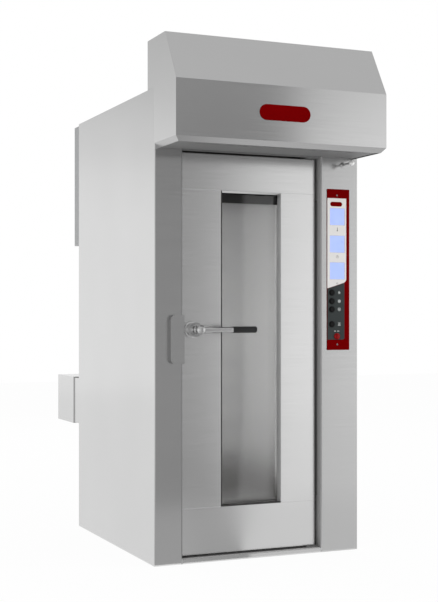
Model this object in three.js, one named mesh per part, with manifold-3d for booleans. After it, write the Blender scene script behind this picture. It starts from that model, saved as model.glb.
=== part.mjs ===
// Rotating rack oven: an insulated stainless cabinet with one recessed, side-hung door,
// a projecting steam hood, a turning rack hook and a rear air plenum. Millimetres, +Z up.
// The front looks towards -Y. Before the final shift the front face of the cabinet is y = 0,
// the floor is z = 0 and the cabinet's middle is x = 0.

import * as THREE from 'three';
import { mergeVertices } from 'three/addons/utils/BufferGeometryUtils.js';
import Module from 'manifold-3d';

const wasm = await Module();
wasm.setup();

// ---------------------------------------------------------------- driving dimensions

const fitGap = 0.3;              // air left between pieces that touch
const through = 5;               // how far a cutter runs past the face that it opens

// cabinet
const cabinetWidth = 1100;
const cabinetDepth = 1220;
const cabinetHeight = 2265;
const sheet = 2;                 // outer stainless sheet
const bendRadius = 6;            // outside radius of the folded front edges
const leftPillarWidth = 144;
const rightPillarWidth = 210;
const headerHeight = 281;        // from the door opening up to the roof

// base and floor
const trayHeight = 22;
const trayWall = 3;
const floorPlate = 3;            // plate thickness of the chamber floor

// door leaf
const doorGap = 14;              // air between leaf and jambs
const doorHeadGap = 13;
const doorFootGap = 5.7;         // air between leaf and floor
const doorRecess = 43;
const skinDepth = 40;            // depth of the outer skin's folds, seen round the window
const innerPanelDepth = 29.7;    // depth of the inner panel's folds
const windowLeftOffset = 204;    // from the leaf's left edge to the window
const windowWidth = 326;
const windowFootHeight = 224;    // from the leaf's lower edge to the window
const windowHeadHeight = 174;    // from the window to the leaf's upper edge
const glassThickness = 5;
const glassOverlap = 10;         // pane hidden behind the window's edge on each side
const innerGlassOverlap = 17;

// seal and doorway
const gasketInset = 5;
const gasketWidth = 18;
const gasketDepth = 11.7;
const sealGap = 0.6;             // air left between the seal and the doorway frame
const frameThickness = 3;
const doorwayLand = 40;          // width of the frame's face that the seal meets
const doorwayHeadLand = 44;
const gasketCorner = 12;

// door pivots
const pivotInset = 12;           // from the leaf's right edge and from its front face
const pivotRadius = 8;
const pivotClearance = 0.5;
const pivotReach = 35;           // how far a pin runs into the leaf
const pivotPlate = { upper: 8, lower: 4 };
const pivotPlateLeft = 40;
const pivotPlateDepth = 78;

// chamber and air plenum
const linerSheet = 2;
const plenumDepth = 235;
const chamberRise = 6;           // chamber ceiling above the door opening
const rearWoolThickness = 63.5;
const roofWoolThickness = 180;
const airSlotWidth = 110;
const airSlotHeight = 12;
const airSlotCount = 10;
const airSlotPitch = 175;
const intakeSlotCount = 7;
const intakeSlotPitch = 34;
const intakeWidth = 220;

// rack hook and its drive
const shaftRadius = 17.5;
const shaftClearance = 0.4;
const bearingRadius = 42;
const bearingHeight = 20;
const bearingFlange = 6;
const bearingShoulder = 12;      // step from the flange in to the upper boss
const woolRoom = 5;              // air left in the wool round parts that move
const collarRadius = 30;
const collarHeight = 12;
const hookBarLength = 400;
const hookBarThickness = 14;
const hookBarWidth = 50;
const hookDrop = 70;
const hookPlate = 12;
const hookHubRadius = 42;
const hookHubDrop = 8;           // how far the hub hangs below the crossbar
const hookInset = 50;            // from the crossbar's end to the claw's shank
const hookArm = 14;              // width of the claw's shank and height of its floor
const hookMouth = 16;
const hookTip = 10;
const hookTipRise = 30;
const hookChamfer = 6;
const ceilingClearance = 14;     // from the ceiling to the top of the hook bar
const gearboxSize = 170;
const gearboxHeight = 120;
const driveMotorRadius = 62;
const driveMotorLength = 230;
const driveMotorRise = 4;        // motor axis above the gearbox's middle
const gearboxCorner = 30;
const gearboxFlange = 25;        // foot plate beyond the gearbox
const gearboxFoot = 10;
const shaftEntry = 60;           // how far the shaft stands in the gearbox

// circulation fan
const fanDrop = 225;             // from the chamber's ceiling down to the fan's axis
const fanRadius = 185;
const fanEyeRadius = 110;
const fanDepth = 75;
const fanPlate = 4;
const fanBlades = 8;
const fanHubRadius = 34;
const fanHubLength = 45;
const fanShaftRadius = 12;
const bladeThickness = 3;
const bladeInset = 2;            // from the wheel's rim in to the blades' ends
const fanBackGap = 55;           // from the fan's back plate to the plenum's rear wall
const fanMotorRadius = 74;
const fanMotorLength = 70;
const fanMotorShaft = 35;        // how far the shaft stands in the motor
const motorFlange = 8;
const motorFlangeReach = 22;
const motorRound = 10;

// burner, heat exchanger and flue
const burnerInset = 96;          // from the chamber's left wall
const burnerHeight = 704;
const sleeveRadius = 62;
const blastTubeRadius = 48;
const drumRadius = 80;
const exchangerLow = 190;
const exchangerDrop = 590;       // from the chamber's ceiling down to the upper header
const headerWidth = 90;
const tubeRadius = 24;
const tubeCount = 4;
const firstTubeGap = 60;         // from the drum to the first tube's axis
const headerOverhang = 20;
const exchangerFoot = 30;
const flueLanding = 15;          // upper header beyond the flue
const burnerRoomGap = 2;
const burnerRoomDepth = 20;      // how far the burner's room runs into the drum
const burnerFlange = 10;
const burnerFlangeReach = 25;
const burnerNeckWall = 8;
const blowerGap = 40;            // from the flange to the blower casing
const blowerSize = 190;
const blowerDepth = 210;
const blowerCorner = 30;
const scrollRadius = 88;
const scrollSetback = 160;       // from the flange to the scroll's axis
const scrollReach = 35;          // scroll beyond the blower casing
const flueInset = 90;            // from the chamber's right wall
const flueRadius = 55;
const flueWall = 3;
const flueReach = 90;            // above the roof
const flueRoofRoom = 20;         // air between the flue and its cut-out in the roof
const flashingLap = 20;          // flashing plate beyond its cut-out in the roof
const flashingSheet = 1.5;

// steam cascade
const cascadeInset = 78;         // from the chamber's right wall
const cascadeWidth = 110;
const cascadeGap = 48;           // from the lower header to the cascade
const cascadeTroughs = 7;
const cascadePitch = 120;
const cascadeLow = 90;
const cascadeDepth = 140;
const cascadeUpright = 6;
const cascadeHeadroom = 60;      // uprights above the top trough's floor
const troughHeight = 34;
const troughWall = 8;
const troughInset = 10;          // from the uprights' edges in to the troughs
const troughSlant = 12;

// rear covers
const burnerCoverWidth = 420;
const burnerCoverDepth = 422;
const burnerCoverHeight = 264;
const coverNeckDepth = 106;
const coverNeckInset = 5;
const casingDepth = 82;
const casingDrop = 11;           // from the roof down to the casing's top
const casingHeight = 672;
const louvreHeight = 6;
const coverLouvres = { count: 6, pitch: 34, inset: 90 };
const casingLouvres = { count: 8, pitch: 40, centre: 360, length: 180 };

// steam vent
const ventInset = 87;            // from the cabinet's right side
const ventDrop = 43;             // from the chamber's ceiling down to the rod
const ventRodRadius = 5;
const ventReach = 94;            // from the front face to the knob's centre
const ventKnobRadius = 13.5;
const ventTravel = 90;
const ventDuctWidth = 150;
const ventDuctDepth = 140;
const ventDuctFront = 250;
const ventDuctReach = 45;        // above the roof
const ductRoofRoom = 12;         // air between the duct and its cut-out in the roof
const ventGateThickness = 4;
const ventPortHeight = 70;
const ventPortDrop = 10;         // from the gate down to the port in the liner
const ventDuctSeat = 1;          // from the gate up to the duct
const ventGateGap = 2;           // gate inside the duct's outline
const ventGateLap = 15;          // gate in front of the duct
const ventRodEnd = 2;            // from the rod's end to the duct's front wall

// hood
const hoodRise = 235;            // above the roof
const hoodBack = 91;             // behind the cabinet's front face
const hoodTopReach = 142;
const hoodReach = 281;
const hoodBrowDrop = 2;          // from the roof down to where slope and front meet
const hoodFrontHeight = 261;
const hoodLipHeight = 23.5;
const hoodLipInset = 20;
const spigotRadius = 75;
const spigotReach = 60;
const spigotDrop = 115;          // from the hood's top down to the spigot's axis
const spigotFlange = 20;         // flange beyond the tube
const hoodFanRadius = 95;
const hoodFanDepth = 70;
const hoodFanBlades = 6;
const hoodFanY = -60;
const hoodFanRim = 38;           // width of the wheel's front ring
const hoodFanHubRadius = 20;
const hoodFanHubLength = 42;
const hoodShaftRadius = 8;
const hoodShaftEntry = 40;
const hoodFanGap = 18;           // from the motor down to the wheel
const hoodMotorRadius = 60;
const hoodMotorHeight = 110;
const hoodMotorFlange = 18;
const trayPlate = 3;
const traySlots = 12;
const traySlotPitch = 72;
const traySlotLength = 48;
const traySlotWidth = 8;
const traySlotSetback = 60;
const trayRise = 4;              // tray above the hood's lower lip

// badge plate
const badgeLength = 265;
const badgeHeight = 74;
const badgeThickness = 3;
const badgeDrop = 128;           // from the brow down to the badge's middle

// controls on the right pillar
const panelInset = 34;           // from the door opening
const panelDrop = 161;           // from the opening's top down to the panel
const panelWidth = 126;
const panelHeight = 810;
const panelThickness = 4;
const displayInset = 16;         // from the panel's left edge
const displayWidth = 82;
const displayHeight = 84;
const displayDrops = [138.5, 276.5, 411.5];   // from the panel's top
const displayPocket = 2;
const keyInset = 26;             // from the panel's left edge
const keyDrops = [521, 564, 605, 680];        // from the panel's top
const keyRadius = 13;
const keyThickness = 6;
const keyTravel = 2.5;
const keyRound = 2;
const panelCorner = 3;
const stemRadius = 4;
const stemClearance = 1;
const stemReach = 8;             // behind the pillar's front sheet
const switchInset = 54;          // from the panel's left edge
const switchDrop = 741;          // from the panel's top
const switchRadius = 16;
const switchDepth = 12;
const switchSkirt = 7;           // height of the switch's round base
const switchRound = 3;
const wingWidth = 8;
const boxMargin = 20;            // control box beyond the panel at top and bottom
const boxDepth = 100;
const boxWall = 1.5;

// handle and latch
const handleInset = 47;          // from the leaf's left edge to the spindle
const handleHeight = 1119;
const roseRadius = 40;
const roseThickness = 12;
const roseBevel = { width: 8, depth: 4 };
const hubRadius = 25;
const hubReach = 129;            // from the leaf's front face to the lever's axis
const knuckleRadius = 23;
const knuckleLength = 12;
const knuckleNose = 19;          // from the lever's axis to the knuckle's front
const noseRadius = 12;
const noseBevel = 6;
const neckRadius = 20.5;         // between knuckle and hub
const neckSetback = 18;          // from the lever's axis to the neck
const hubShoulder = 11;
const spindleRadius = 8;
const spindleReach = 50;         // into the leaf
const leverRadius = 12.5;
const gripStart = 163;           // from the spindle to the grip
const gripLength = 124;
const gripRadius = 15.5;
const gripRound = 4;
const gripCap = 12;              // solid end of the grip beyond the lever
const tongueReach = 58.5;
const tongueHeight = 24;
const tongueThickness = 14;
const tongueSetback = 19;        // from the cabinet's front face to the tongue's far side
const tongueRing = 10;           // wall of the ring that clamps the tongue to the hub
const tongueRoot = 4;            // tongue wider by this at each side of its root
const tongueTip = { length: 10, drop: 6 };
const keeperWidth = 70;
const keeperThickness = 25;
const keeperDrop = 162;          // from the handle's axis down to the plate's end
const keeperRise = 71;
const keeperRadius = 25;
const keeperMouthDepth = 40;
const keeperMouthHeight = 60;
const keeperMouthWall = 4;

// chamber lamp
const lampWidth = 190;
const lampDepth = 64;
const lampHeight = 34;
const lampSkirt = 10;            // upright rim above the lamp's round
const lampSetback = 70;          // from the front of the liner

// ---------------------------------------------------------------- derived places

const half = cabinetWidth / 2;
const openingLeft = leftPillarWidth - half;
const openingRight = half - rightPillarWidth;
const openingWidth = openingRight - openingLeft;
const openingTop = cabinetHeight - headerHeight;
const middleX = (openingLeft + openingRight) / 2;
const innerHalf = half - sheet - fitGap;
const innerBack = cabinetDepth - sheet - fitGap;
const roofUnder = cabinetHeight - sheet;

const floorTop = trayHeight + fitGap + floorPlate;
const traySeat = trayWall + fitGap;

const leaf = {
  left: openingLeft + doorGap,
  right: openingRight - doorGap,
  low: floorTop + doorFootGap,
  high: openingTop - doorHeadGap,
  front: doorRecess,
  joint: doorRecess + skinDepth,
  back: doorRecess + skinDepth + fitGap + innerPanelDepth,
};
const pane = {
  left: leaf.left + windowLeftOffset,
  right: leaf.left + windowLeftOffset + windowWidth,
  low: leaf.low + windowFootHeight,
  high: leaf.high - windowHeadHeight,
};
const pivotX = leaf.right - pivotInset;
const pivotY = leaf.front + pivotInset;

const frameFront = leaf.back + fitGap + gasketDepth + sealGap;
const frameBack = frameFront + frameThickness;
const revealDepth = frameFront - fitGap;
const doorwayLeft = openingLeft + doorwayLand;
const doorwayRight = openingRight - doorwayLand;
const doorwayTop = openingTop - doorwayHeadLand;

const linerFront = frameBack + fitGap;
const plenumBack = innerBack - rearWoolThickness - fitGap - linerSheet;
const diffuserBack = plenumBack - plenumDepth;
const diffuserFront = diffuserBack - linerSheet;
const chamberTop = openingTop + chamberRise;
const rotorY = (linerFront + diffuserFront) / 2;
const hookBarTop = chamberTop - ceilingClearance;
const woolTop = chamberTop + linerSheet + fitGap + roofWoolThickness;
const plenumMiddle = (diffuserBack + plenumBack) / 2;
const handleX = leaf.left + handleInset;
const leverY = leaf.front - hubReach;
const keeperLow = handleHeight - keeperDrop;
const keeperHigh = handleHeight + keeperRise;

const fanHeight = chamberTop - fanDrop;
const burnerX = openingLeft + burnerInset;
const flueX = openingRight - flueInset;
const cascadeX = openingRight - cascadeInset;
const exchangerHigh = chamberTop - exchangerDrop;
const burnerCoverLow = burnerHeight - burnerCoverHeight / 2;
const burnerCoverHigh = burnerHeight + burnerCoverHeight / 2;
const casingHigh = cabinetHeight - casingDrop;
const casingLow = casingHigh - casingHeight;
const lampY = linerFront + lampSetback;

const ventX = half - ventInset;
const ventHeight = chamberTop - ventDrop;
const hoodHeight = cabinetHeight + hoodRise;
const hoodBrow = cabinetHeight - hoodBrowDrop;
const hoodFrontLow = hoodBrow - hoodFrontHeight;
const hoodLow = hoodFrontLow - hoodLipHeight;
const spigotHeight = hoodHeight - spigotDrop;
const badgeZ = hoodBrow - badgeDrop;

const panelLeft = openingRight + panelInset;
const panelRight = panelLeft + panelWidth;
const panelHigh = openingTop - panelDrop;
const panelLow = panelHigh - panelHeight;
const displayLeft = panelLeft + displayInset;
const displayCentres = displayDrops.map((drop) => panelHigh - drop);
const keyX = panelLeft + keyInset;
const keyHeights = keyDrops.map((drop) => panelHigh - drop);
const switchX = panelLeft + switchInset;
const switchHeight = panelHigh - switchDrop;

// ---------------------------------------------------------------- shape helpers

/** Closed geometry to a solid, turned the right way out. */
function solid(geometry) {
  const bare = geometry.clone();
  bare.deleteAttribute('normal');
  bare.deleteAttribute('uv');
  const merged = mergeVertices(bare);
  const at = merged.attributes.position.array;
  const corner = merged.index.array;
  const triangles = [];
  let volume = 0;
  for (let i = 0; i < corner.length; i += 3) {
    const [a, b, c] = [corner[i], corner[i + 1], corner[i + 2]];
    if (a === b || b === c || a === c) continue;
    triangles.push(a, b, c);
    const p = new THREE.Vector3().fromArray(at, 3 * a);
    const q = new THREE.Vector3().fromArray(at, 3 * b);
    const r = new THREE.Vector3().fromArray(at, 3 * c);
    volume += p.dot(q.cross(r));
  }
  if (volume < 0) triangles.reverse();
  const mesh = new wasm.Mesh({
    numProp: 3,
    vertProperties: Float32Array.from(at),
    triVerts: Uint32Array.from(triangles),
  });
  return new wasm.Manifold(mesh);
}

/** Outline from [a, b] points, with optional holes given as outlines. */
function outline(points, holes = []) {
  const shape = new THREE.Shape(points.map(([a, b]) => new THREE.Vector2(a, b)));
  shape.holes.push(...holes);
  return shape;
}

/** Rectangle whose four corners may be rounded: [low-left, low-right, high-right, high-left]. */
function rectangle(a0, a1, b0, b1, radii = [0, 0, 0, 0]) {
  const [r0, r1, r2, r3] = radii;
  const shape = new THREE.Shape();
  shape.moveTo(a0 + r0, b0);
  shape.lineTo(a1 - r1, b0);
  if (r1 > 0) shape.absarc(a1 - r1, b0 + r1, r1, -Math.PI / 2, 0, false);
  shape.lineTo(a1, b1 - r2);
  if (r2 > 0) shape.absarc(a1 - r2, b1 - r2, r2, 0, Math.PI / 2, false);
  shape.lineTo(a0 + r3, b1);
  if (r3 > 0) shape.absarc(a0 + r3, b1 - r3, r3, Math.PI / 2, Math.PI, false);
  shape.lineTo(a0, b0 + r0);
  if (r0 > 0) shape.absarc(a0 + r0, b0 + r0, r0, Math.PI, 1.5 * Math.PI, false);
  return shape;
}

function extruded(shape, depth, steps) {
  return new THREE.ExtrudeGeometry(shape, { depth, bevelEnabled: false, curveSegments: steps });
}

/** Outline drawn in (x, y), standing from z0 to z1. */
function prismZ(shape, z0, z1, steps = 6) {
  return solid(extruded(shape, z1 - z0, steps).translate(0, 0, z0));
}

/** Outline drawn in (y, z), running from x0 to x1. */
function prismX(shape, x0, x1, steps = 6) {
  const turn = new THREE.Matrix4().makeBasis(
    new THREE.Vector3(0, 1, 0), new THREE.Vector3(0, 0, 1), new THREE.Vector3(1, 0, 0));
  return solid(extruded(shape, x1 - x0, steps).applyMatrix4(turn).translate(x0, 0, 0));
}

/** Outline drawn in (x, z), running from y0 to y1. */
function prismY(shape, y0, y1, steps = 6) {
  const turn = new THREE.Matrix4().makeBasis(
    new THREE.Vector3(1, 0, 0), new THREE.Vector3(0, 0, 1), new THREE.Vector3(0, -1, 0));
  return solid(extruded(shape, y1 - y0, steps).applyMatrix4(turn).translate(0, y1, 0));
}

function block(x0, x1, y0, y1, z0, z1) {
  const box = new THREE.BoxGeometry(x1 - x0, y1 - y0, z1 - z0);
  return solid(box.translate((x0 + x1) / 2, (y0 + y1) / 2, (z0 + z1) / 2));
}

/** Turns a shape made about +Y so that its axis lies along 'x', 'y' or 'z'. */
function alongAxis(geometry, axis) {
  if (axis === 'x') return geometry.rotateZ(-Math.PI / 2);
  if (axis === 'z') return geometry.rotateX(Math.PI / 2);
  return geometry;
}

/** Round bar along an axis; place is the point of the axis where the coordinate along it is 0. */
function bar(axis, place, radius, from, to, sides = 20) {
  const round = new THREE.CylinderGeometry(radius, radius, to - from, sides);
  round.translate(0, (from + to) / 2, 0);
  return solid(alongAxis(round, axis).translate(...place));
}

/** Turned piece: [radius, height] points, spun about an axis through place. */
function turned(axis, place, profile, sides = 24) {
  const points = profile.map(([r, h]) => new THREE.Vector2(r, h));
  return solid(alongAxis(new THREE.LatheGeometry(points, sides), axis).translate(...place));
}

function union(pieces) {
  return pieces.reduce((whole, piece) => whole.add(piece));
}

function cut(body, cutters) {
  return cutters.reduce((rest, cutter) => rest.subtract(cutter), body);
}

/** Outline moved inwards edge by edge; walls[i] belongs to the edge from point i to the next. */
function inset(points, walls) {
  const area = points.reduce((sum, [a, b], i) => {
    const [c, d] = points[(i + 1) % points.length];
    return sum + a * d - c * b;
  }, 0);
  const side = Math.sign(area);
  const lines = points.map(([a, b], i) => {
    const [c, d] = points[(i + 1) % points.length];
    const length = Math.hypot(c - a, d - b);
    const wall = Array.isArray(walls) ? walls[i] : walls;
    const shift = [-side * (d - b) / length * wall, side * (c - a) / length * wall];
    return { at: [a + shift[0], b + shift[1]], along: [(c - a) / length, (d - b) / length] };
  });
  return points.map((_, i) => {
    const before = lines[(i + points.length - 1) % points.length];
    const after = lines[i];
    const cross = before.along[0] * after.along[1] - before.along[1] * after.along[0];
    const gapA = after.at[0] - before.at[0];
    const gapB = after.at[1] - before.at[1];
    const t = (gapA * after.along[1] - gapB * after.along[0]) / cross;
    return [before.at[0] + t * before.along[0], before.at[1] + t * before.along[1]];
  });
}

/** Points of an arc from one angle to another, in degrees. */
function arc(a, b, radius, from, to, steps = 4) {
  return Array.from({ length: steps + 1 }, (_, i) => {
    const angle = THREE.MathUtils.degToRad(from + (to - from) * i / steps);
    return [a + radius * Math.cos(angle), b + radius * Math.sin(angle)];
  });
}

function spread(count, pitch) {
  return Array.from({ length: count }, (_, i) => (i - (count - 1) / 2) * pitch);
}

// ---------------------------------------------------------------- materials and assembly

const palette = {
  steel: { color: 0xc4c6c8, roughness: 0.34, metalness: 1.0 },
  liner: { color: 0xa9abac, roughness: 0.42, metalness: 1.0 },
  galvanised: { color: 0x9aa0a3, roughness: 0.55, metalness: 0.9 },
  darkPaint: { color: 0x6d7072, roughness: 0.6, metalness: 0.1 },
  motorPaint: { color: 0x3f5566, roughness: 0.55, metalness: 0.2 },
  castIron: { color: 0x4a4947, roughness: 0.7, metalness: 0.6 },
  heatSteel: { color: 0x7d736a, roughness: 0.55, metalness: 0.9 },
  wool: { color: 0xb9a66f, roughness: 0.95, metalness: 0.0 },
  rubber: { color: 0x2a2a2b, roughness: 0.75, metalness: 0.0 },
  glass: { color: 0x8f989b, roughness: 0.05, metalness: 0.0 },
  lens: { color: 0xe8e4d4, roughness: 0.2, metalness: 0.0 },
  redEnamel: { color: 0x8b0a0a, roughness: 0.3, metalness: 0.0 },
  display: { color: 0xb4c6ff, roughness: 0.15, metalness: 0.0 },
  blackPlastic: { color: 0x161617, roughness: 0.4, metalness: 0.0 },
  redPlastic: { color: 0xa01012, roughness: 0.35, metalness: 0.0 },
  chrome: { color: 0xd8dadc, roughness: 0.12, metalness: 1.0 },
};

const oven = new THREE.Group();

/** Adds one named piece with a material of its own. */
function addPiece(name, body, finish) {
  const { vertProperties, triVerts } = body.getMesh();
  const geometry = new THREE.BufferGeometry();
  geometry.setAttribute('position', new THREE.Float32BufferAttribute(vertProperties, 3));
  geometry.setIndex(Array.from(triVerts));
  const mesh = new THREE.Mesh(geometry, new THREE.MeshStandardMaterial(palette[finish]));
  mesh.name = name;
  oven.add(mesh);
}

// ---------------------------------------------------------------- base and floor

function addBase() {
  const rear = innerBack;
  const front = revealDepth + fitGap;
  const plan = [
    [-innerHalf, front], [openingLeft + fitGap, front], [openingLeft + fitGap, 0],
    [openingRight - fitGap, 0], [openingRight - fitGap, front], [innerHalf, front],
    [innerHalf, rear], [-innerHalf, rear],
  ];
  const tray = prismZ(outline(plan), 0, trayHeight);
  const pocket = prismZ(outline(inset(plan, trayWall)), trayWall, trayHeight + through);
  addPiece('base_tray', tray.subtract(pocket), 'steel');

  const rim = trayWall + 2 * fitGap;
  const neck = frameFront - fitGap;
  const wide = frameBack + fitGap;
  const plate = [
    [openingLeft + rim, rim], [openingRight - rim, rim], [openingRight - rim, neck],
    [doorwayRight - fitGap, neck], [doorwayRight - fitGap, wide],
    [openingRight - fitGap, wide], [openingRight - fitGap, plenumBack - fitGap],
    [openingLeft + fitGap, plenumBack - fitGap], [openingLeft + fitGap, wide],
    [doorwayLeft + fitGap, wide], [doorwayLeft + fitGap, neck], [openingLeft + rim, neck],
  ];
  const floor = prismZ(outline(plate), traySeat, floorTop);
  const hollow = prismZ(outline(inset(plate, floorPlate)), 0, floorTop - floorPlate);
  addPiece('chamber_floor', floor.subtract(hollow), 'liner');
}

// ---------------------------------------------------------------- outer panels

/** One folded sheet: side wall, front pillar face and the jamb's return. side is -1 or +1. */
function sidePanel(side, pillarWidth) {
  const inner = bendRadius - sheet;
  const jamb = pillarWidth;
  const plan = [
    [0, cabinetDepth], ...arc(bendRadius, bendRadius, bendRadius, 180, 270),
    ...arc(jamb - bendRadius, bendRadius, bendRadius, 270, 360),
    [jamb, revealDepth], [jamb - sheet, revealDepth],
    ...arc(jamb - bendRadius, bendRadius, inner, 360, 270),
    ...arc(bendRadius, bendRadius, inner, 270, 180),
    [sheet, cabinetDepth],
  ];
  const placed = plan.map(([a, y]) => [side * (half - a), y]);
  const returnX = side * (half - jamb + sheet / 2);
  const roofRelief = block(returnX - sheet, returnX + sheet, bendRadius - fitGap,
    revealDepth + through, roofUnder - fitGap, cabinetHeight + through);
  return cut(prismZ(outline(placed), 0, cabinetHeight), [roofRelief]);
}

function addPanels() {
  addPiece('side_panel_left', sidePanel(-1, leftPillarWidth), 'steel');

  const hole = (x, z, radius) => bar('y', [x, 0, z], radius, -through, sheet + through, 12);
  const rightCuts = [
    ...keyHeights.map((z) => hole(keyX, z, stemRadius + stemClearance)),
    hole(switchX, switchHeight, stemRadius + stemClearance),
    hole(ventX, ventHeight, ventRodRadius + stemClearance),
  ];
  addPiece('side_panel_right', cut(sidePanel(1, rightPillarWidth), rightCuts), 'steel');

  const header = outline([
    [0, openingTop], [revealDepth, openingTop], [revealDepth, openingTop + sheet],
    [sheet, openingTop + sheet], [sheet, cabinetHeight], [0, cabinetHeight],
  ]);
  const headerPiece = prismX(header, openingLeft + fitGap, openingRight - fitGap);
  addPiece('header_panel', headerPiece, 'steel');

  const rear = block(-innerHalf, innerHalf, cabinetDepth - sheet, cabinetDepth, 0, cabinetHeight);
  const burnerHole = bar('y', [burnerX, 0, burnerHeight], sleeveRadius + fitGap,
    innerBack - through, cabinetDepth + through, 24);
  const fanHole = bar('y', [middleX, 0, fanHeight], fanShaftRadius + shaftClearance,
    innerBack - through, cabinetDepth + through, 16);
  addPiece('rear_panel', cut(rear, [burnerHole, fanHole]), 'steel');

  const roof = block(-innerHalf, innerHalf, bendRadius, innerBack, roofUnder, cabinetHeight);
  const low = roofUnder - through;
  const high = cabinetHeight + through;
  const flueRoom = flueRadius + flueRoofRoom;
  const cutOuts = [
    bar('z', [middleX, rotorY, 0], shaftRadius + 2 * shaftClearance, low, high, 20),
    block(flueX - flueRoom, flueX + flueRoom, plenumMiddle - flueRoom, plenumMiddle + flueRoom,
      low, high),
    block(ventX - ventDuctWidth / 2 - ductRoofRoom, innerHalf + through,
      ventDuctFront - ductRoofRoom, ventDuctFront + ventDuctDepth + ductRoofRoom, low, high),
  ];
  addPiece('roof_panel', cut(roof, cutOuts), 'steel');
}

/** Cutters for the drive shaft, the flue and the vent duct between two heights. */
function roofHoles(z0, z1) {
  return [
    bar('z', [middleX, rotorY, 0], shaftRadius + 2 * shaftClearance, z0, z1, 20),
    bar('z', [flueX, plenumMiddle, 0], flueRadius + fitGap, z0, z1, 24),
    block(ventX - ventDuctWidth / 2 - fitGap, ventX + ventDuctWidth / 2 + fitGap,
      ventDuctFront - fitGap, ventDuctFront + ventDuctDepth + fitGap, z0, z1),
  ];
}

// ---------------------------------------------------------------- doorway frame and liners

function addChamber() {
  const opening = rectangle(doorwayLeft, doorwayRight, 0, doorwayTop);
  const plate = block(-innerHalf, innerHalf, frameFront, frameBack, trayHeight + fitGap,
    roofUnder - fitGap);
  const rodHole = bar('y', [ventX, 0, ventHeight], ventRodRadius + stemClearance,
    frameFront - through, frameBack + through, 12);
  const doorway = prismY(opening, frameFront - through, frameBack + through);
  addPiece('door_frame', cut(plate, [doorway, rodHole]), 'liner');

  const left = openingLeft - linerSheet;
  const right = openingRight + linerSheet;
  const back = plenumBack + linerSheet;
  const wall = outline([
    [left, linerFront], [openingLeft, linerFront], [openingLeft, plenumBack],
    [openingRight, plenumBack], [openingRight, linerFront], [right, linerFront],
    [right, back], [left, back],
  ]);
  const ventPort = block(openingRight - through, right + through,
    ventDuctFront, ventDuctFront + ventDuctDepth,
    ventHeight - ventPortDrop - ventPortHeight, ventHeight - ventPortDrop);
  const burnerPort = bar('y', [burnerX, 0, burnerHeight], sleeveRadius + fitGap,
    plenumBack - through, back + through, 24);
  const fanPort = bar('y', [middleX, 0, fanHeight], fanShaftRadius + shaftClearance,
    plenumBack - through, back + through, 16);
  const liner = prismZ(wall, traySeat, chamberTop - fitGap);
  addPiece('chamber_liner', cut(liner, [ventPort, burnerPort, fanPort]), 'liner');

  const ceiling = block(left, right, linerFront, back, chamberTop, chamberTop + linerSheet);
  const [shaftHole, flueHole] = roofHoles(chamberTop - through, chamberTop + through);
  addPiece('ceiling_liner', cut(ceiling, [shaftHole, flueHole]), 'liner');

  addDiffuser();
}

/** Perforated wall between the chamber and the plenum: outlets at both sides, intake by the fan. */
function addDiffuser() {
  const low = floorTop + fitGap;
  const high = chamberTop - fitGap;
  const plate = block(openingLeft + fitGap, openingRight - fitGap, diffuserFront, diffuserBack,
    low, high);
  const reach = openingWidth / 2 - airSlotWidth;
  const slots = [];
  for (const offset of spread(airSlotCount, airSlotPitch)) {
    const z = (low + high) / 2 + offset;
    for (const x of [middleX - reach, middleX + reach]) {
      slots.push(slotCutter(x, z, airSlotWidth, airSlotHeight));
    }
  }
  for (const offset of spread(intakeSlotCount, intakeSlotPitch)) {
    slots.push(slotCutter(middleX, fanHeight + offset, intakeWidth, airSlotHeight));
  }
  addPiece('diffuser_wall', cut(plate, slots), 'liner');
}

function slotCutter(x, z, width, height) {
  return block(x - width / 2, x + width / 2, diffuserFront - through, diffuserBack + through,
    z - height / 2, z + height / 2);
}

// ---------------------------------------------------------------- mineral wool

function addInsulation() {
  const left = openingLeft - linerSheet - fitGap;
  const right = openingRight + linerSheet + fitGap;
  const back = plenumBack + linerSheet + fitGap;
  const plan = outline([
    [-innerHalf, linerFront], [left, linerFront], [left, back], [right, back],
    [right, linerFront], [innerHalf, linerFront], [innerHalf, innerBack],
    [-innerHalf, innerBack],
  ]);
  const wallTop = chamberTop + linerSheet;
  const channelFront = ventDuctFront - ventGateLap - ventTravel - woolRoom;
  const channel = block(right - through, ventX + ventDuctWidth / 2 + fitGap, channelFront,
    ventDuctFront + ventDuctDepth + fitGap, ventHeight - ventPortDrop - ventPortHeight,
    wallTop + through);
  const rodHole = bar('y', [ventX, 0, ventHeight], ventRodRadius + stemClearance,
    linerFront - through, channelFront + through, 12);
  const burnerHole = bar('y', [burnerX, 0, burnerHeight], sleeveRadius + fitGap,
    back - through, innerBack + through, 24);
  const fanHole = bar('y', [middleX, 0, fanHeight], fanShaftRadius + shaftClearance,
    back - through, innerBack + through, 16);
  const walls = prismZ(plan, trayHeight + fitGap, wallTop);
  addPiece('wall_insulation', cut(walls, [channel, rodHole, burnerHole, fanHole]), 'wool');

  const slab = block(-innerHalf, innerHalf, linerFront, innerBack, wallTop + fitGap, woolTop);
  const wellTop = woolTop + through;
  const [, flueHole, ductHole] = roofHoles(wallTop - through, wellTop);
  const shaftWell = bar('z', [middleX, rotorY, 0], bearingRadius + woolRoom,
    wallTop - through, wellTop, 24);
  addPiece('roof_insulation', cut(slab, [flueHole, ductHole, shaftWell]), 'wool');
}

// ---------------------------------------------------------------- door leaf

/** Folded tray, open at the back: a front sheet and four returns. */
function skinTray(x0, x1, z0, z1) {
  const body = block(x0, x1, leaf.front, leaf.joint, z0, z1);
  const pocket = block(x0 + sheet, x1 - sheet, leaf.front + sheet, leaf.joint + through,
    z0 + sheet, z1 - sheet);
  return body.subtract(pocket);
}

function woolFill(x0, x1, z0, z1) {
  const space = sheet + fitGap;
  return block(x0 + space, x1 - space, leaf.front + space, leaf.joint + 2 * fitGap,
    z0 + space, z1 - space);
}

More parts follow.
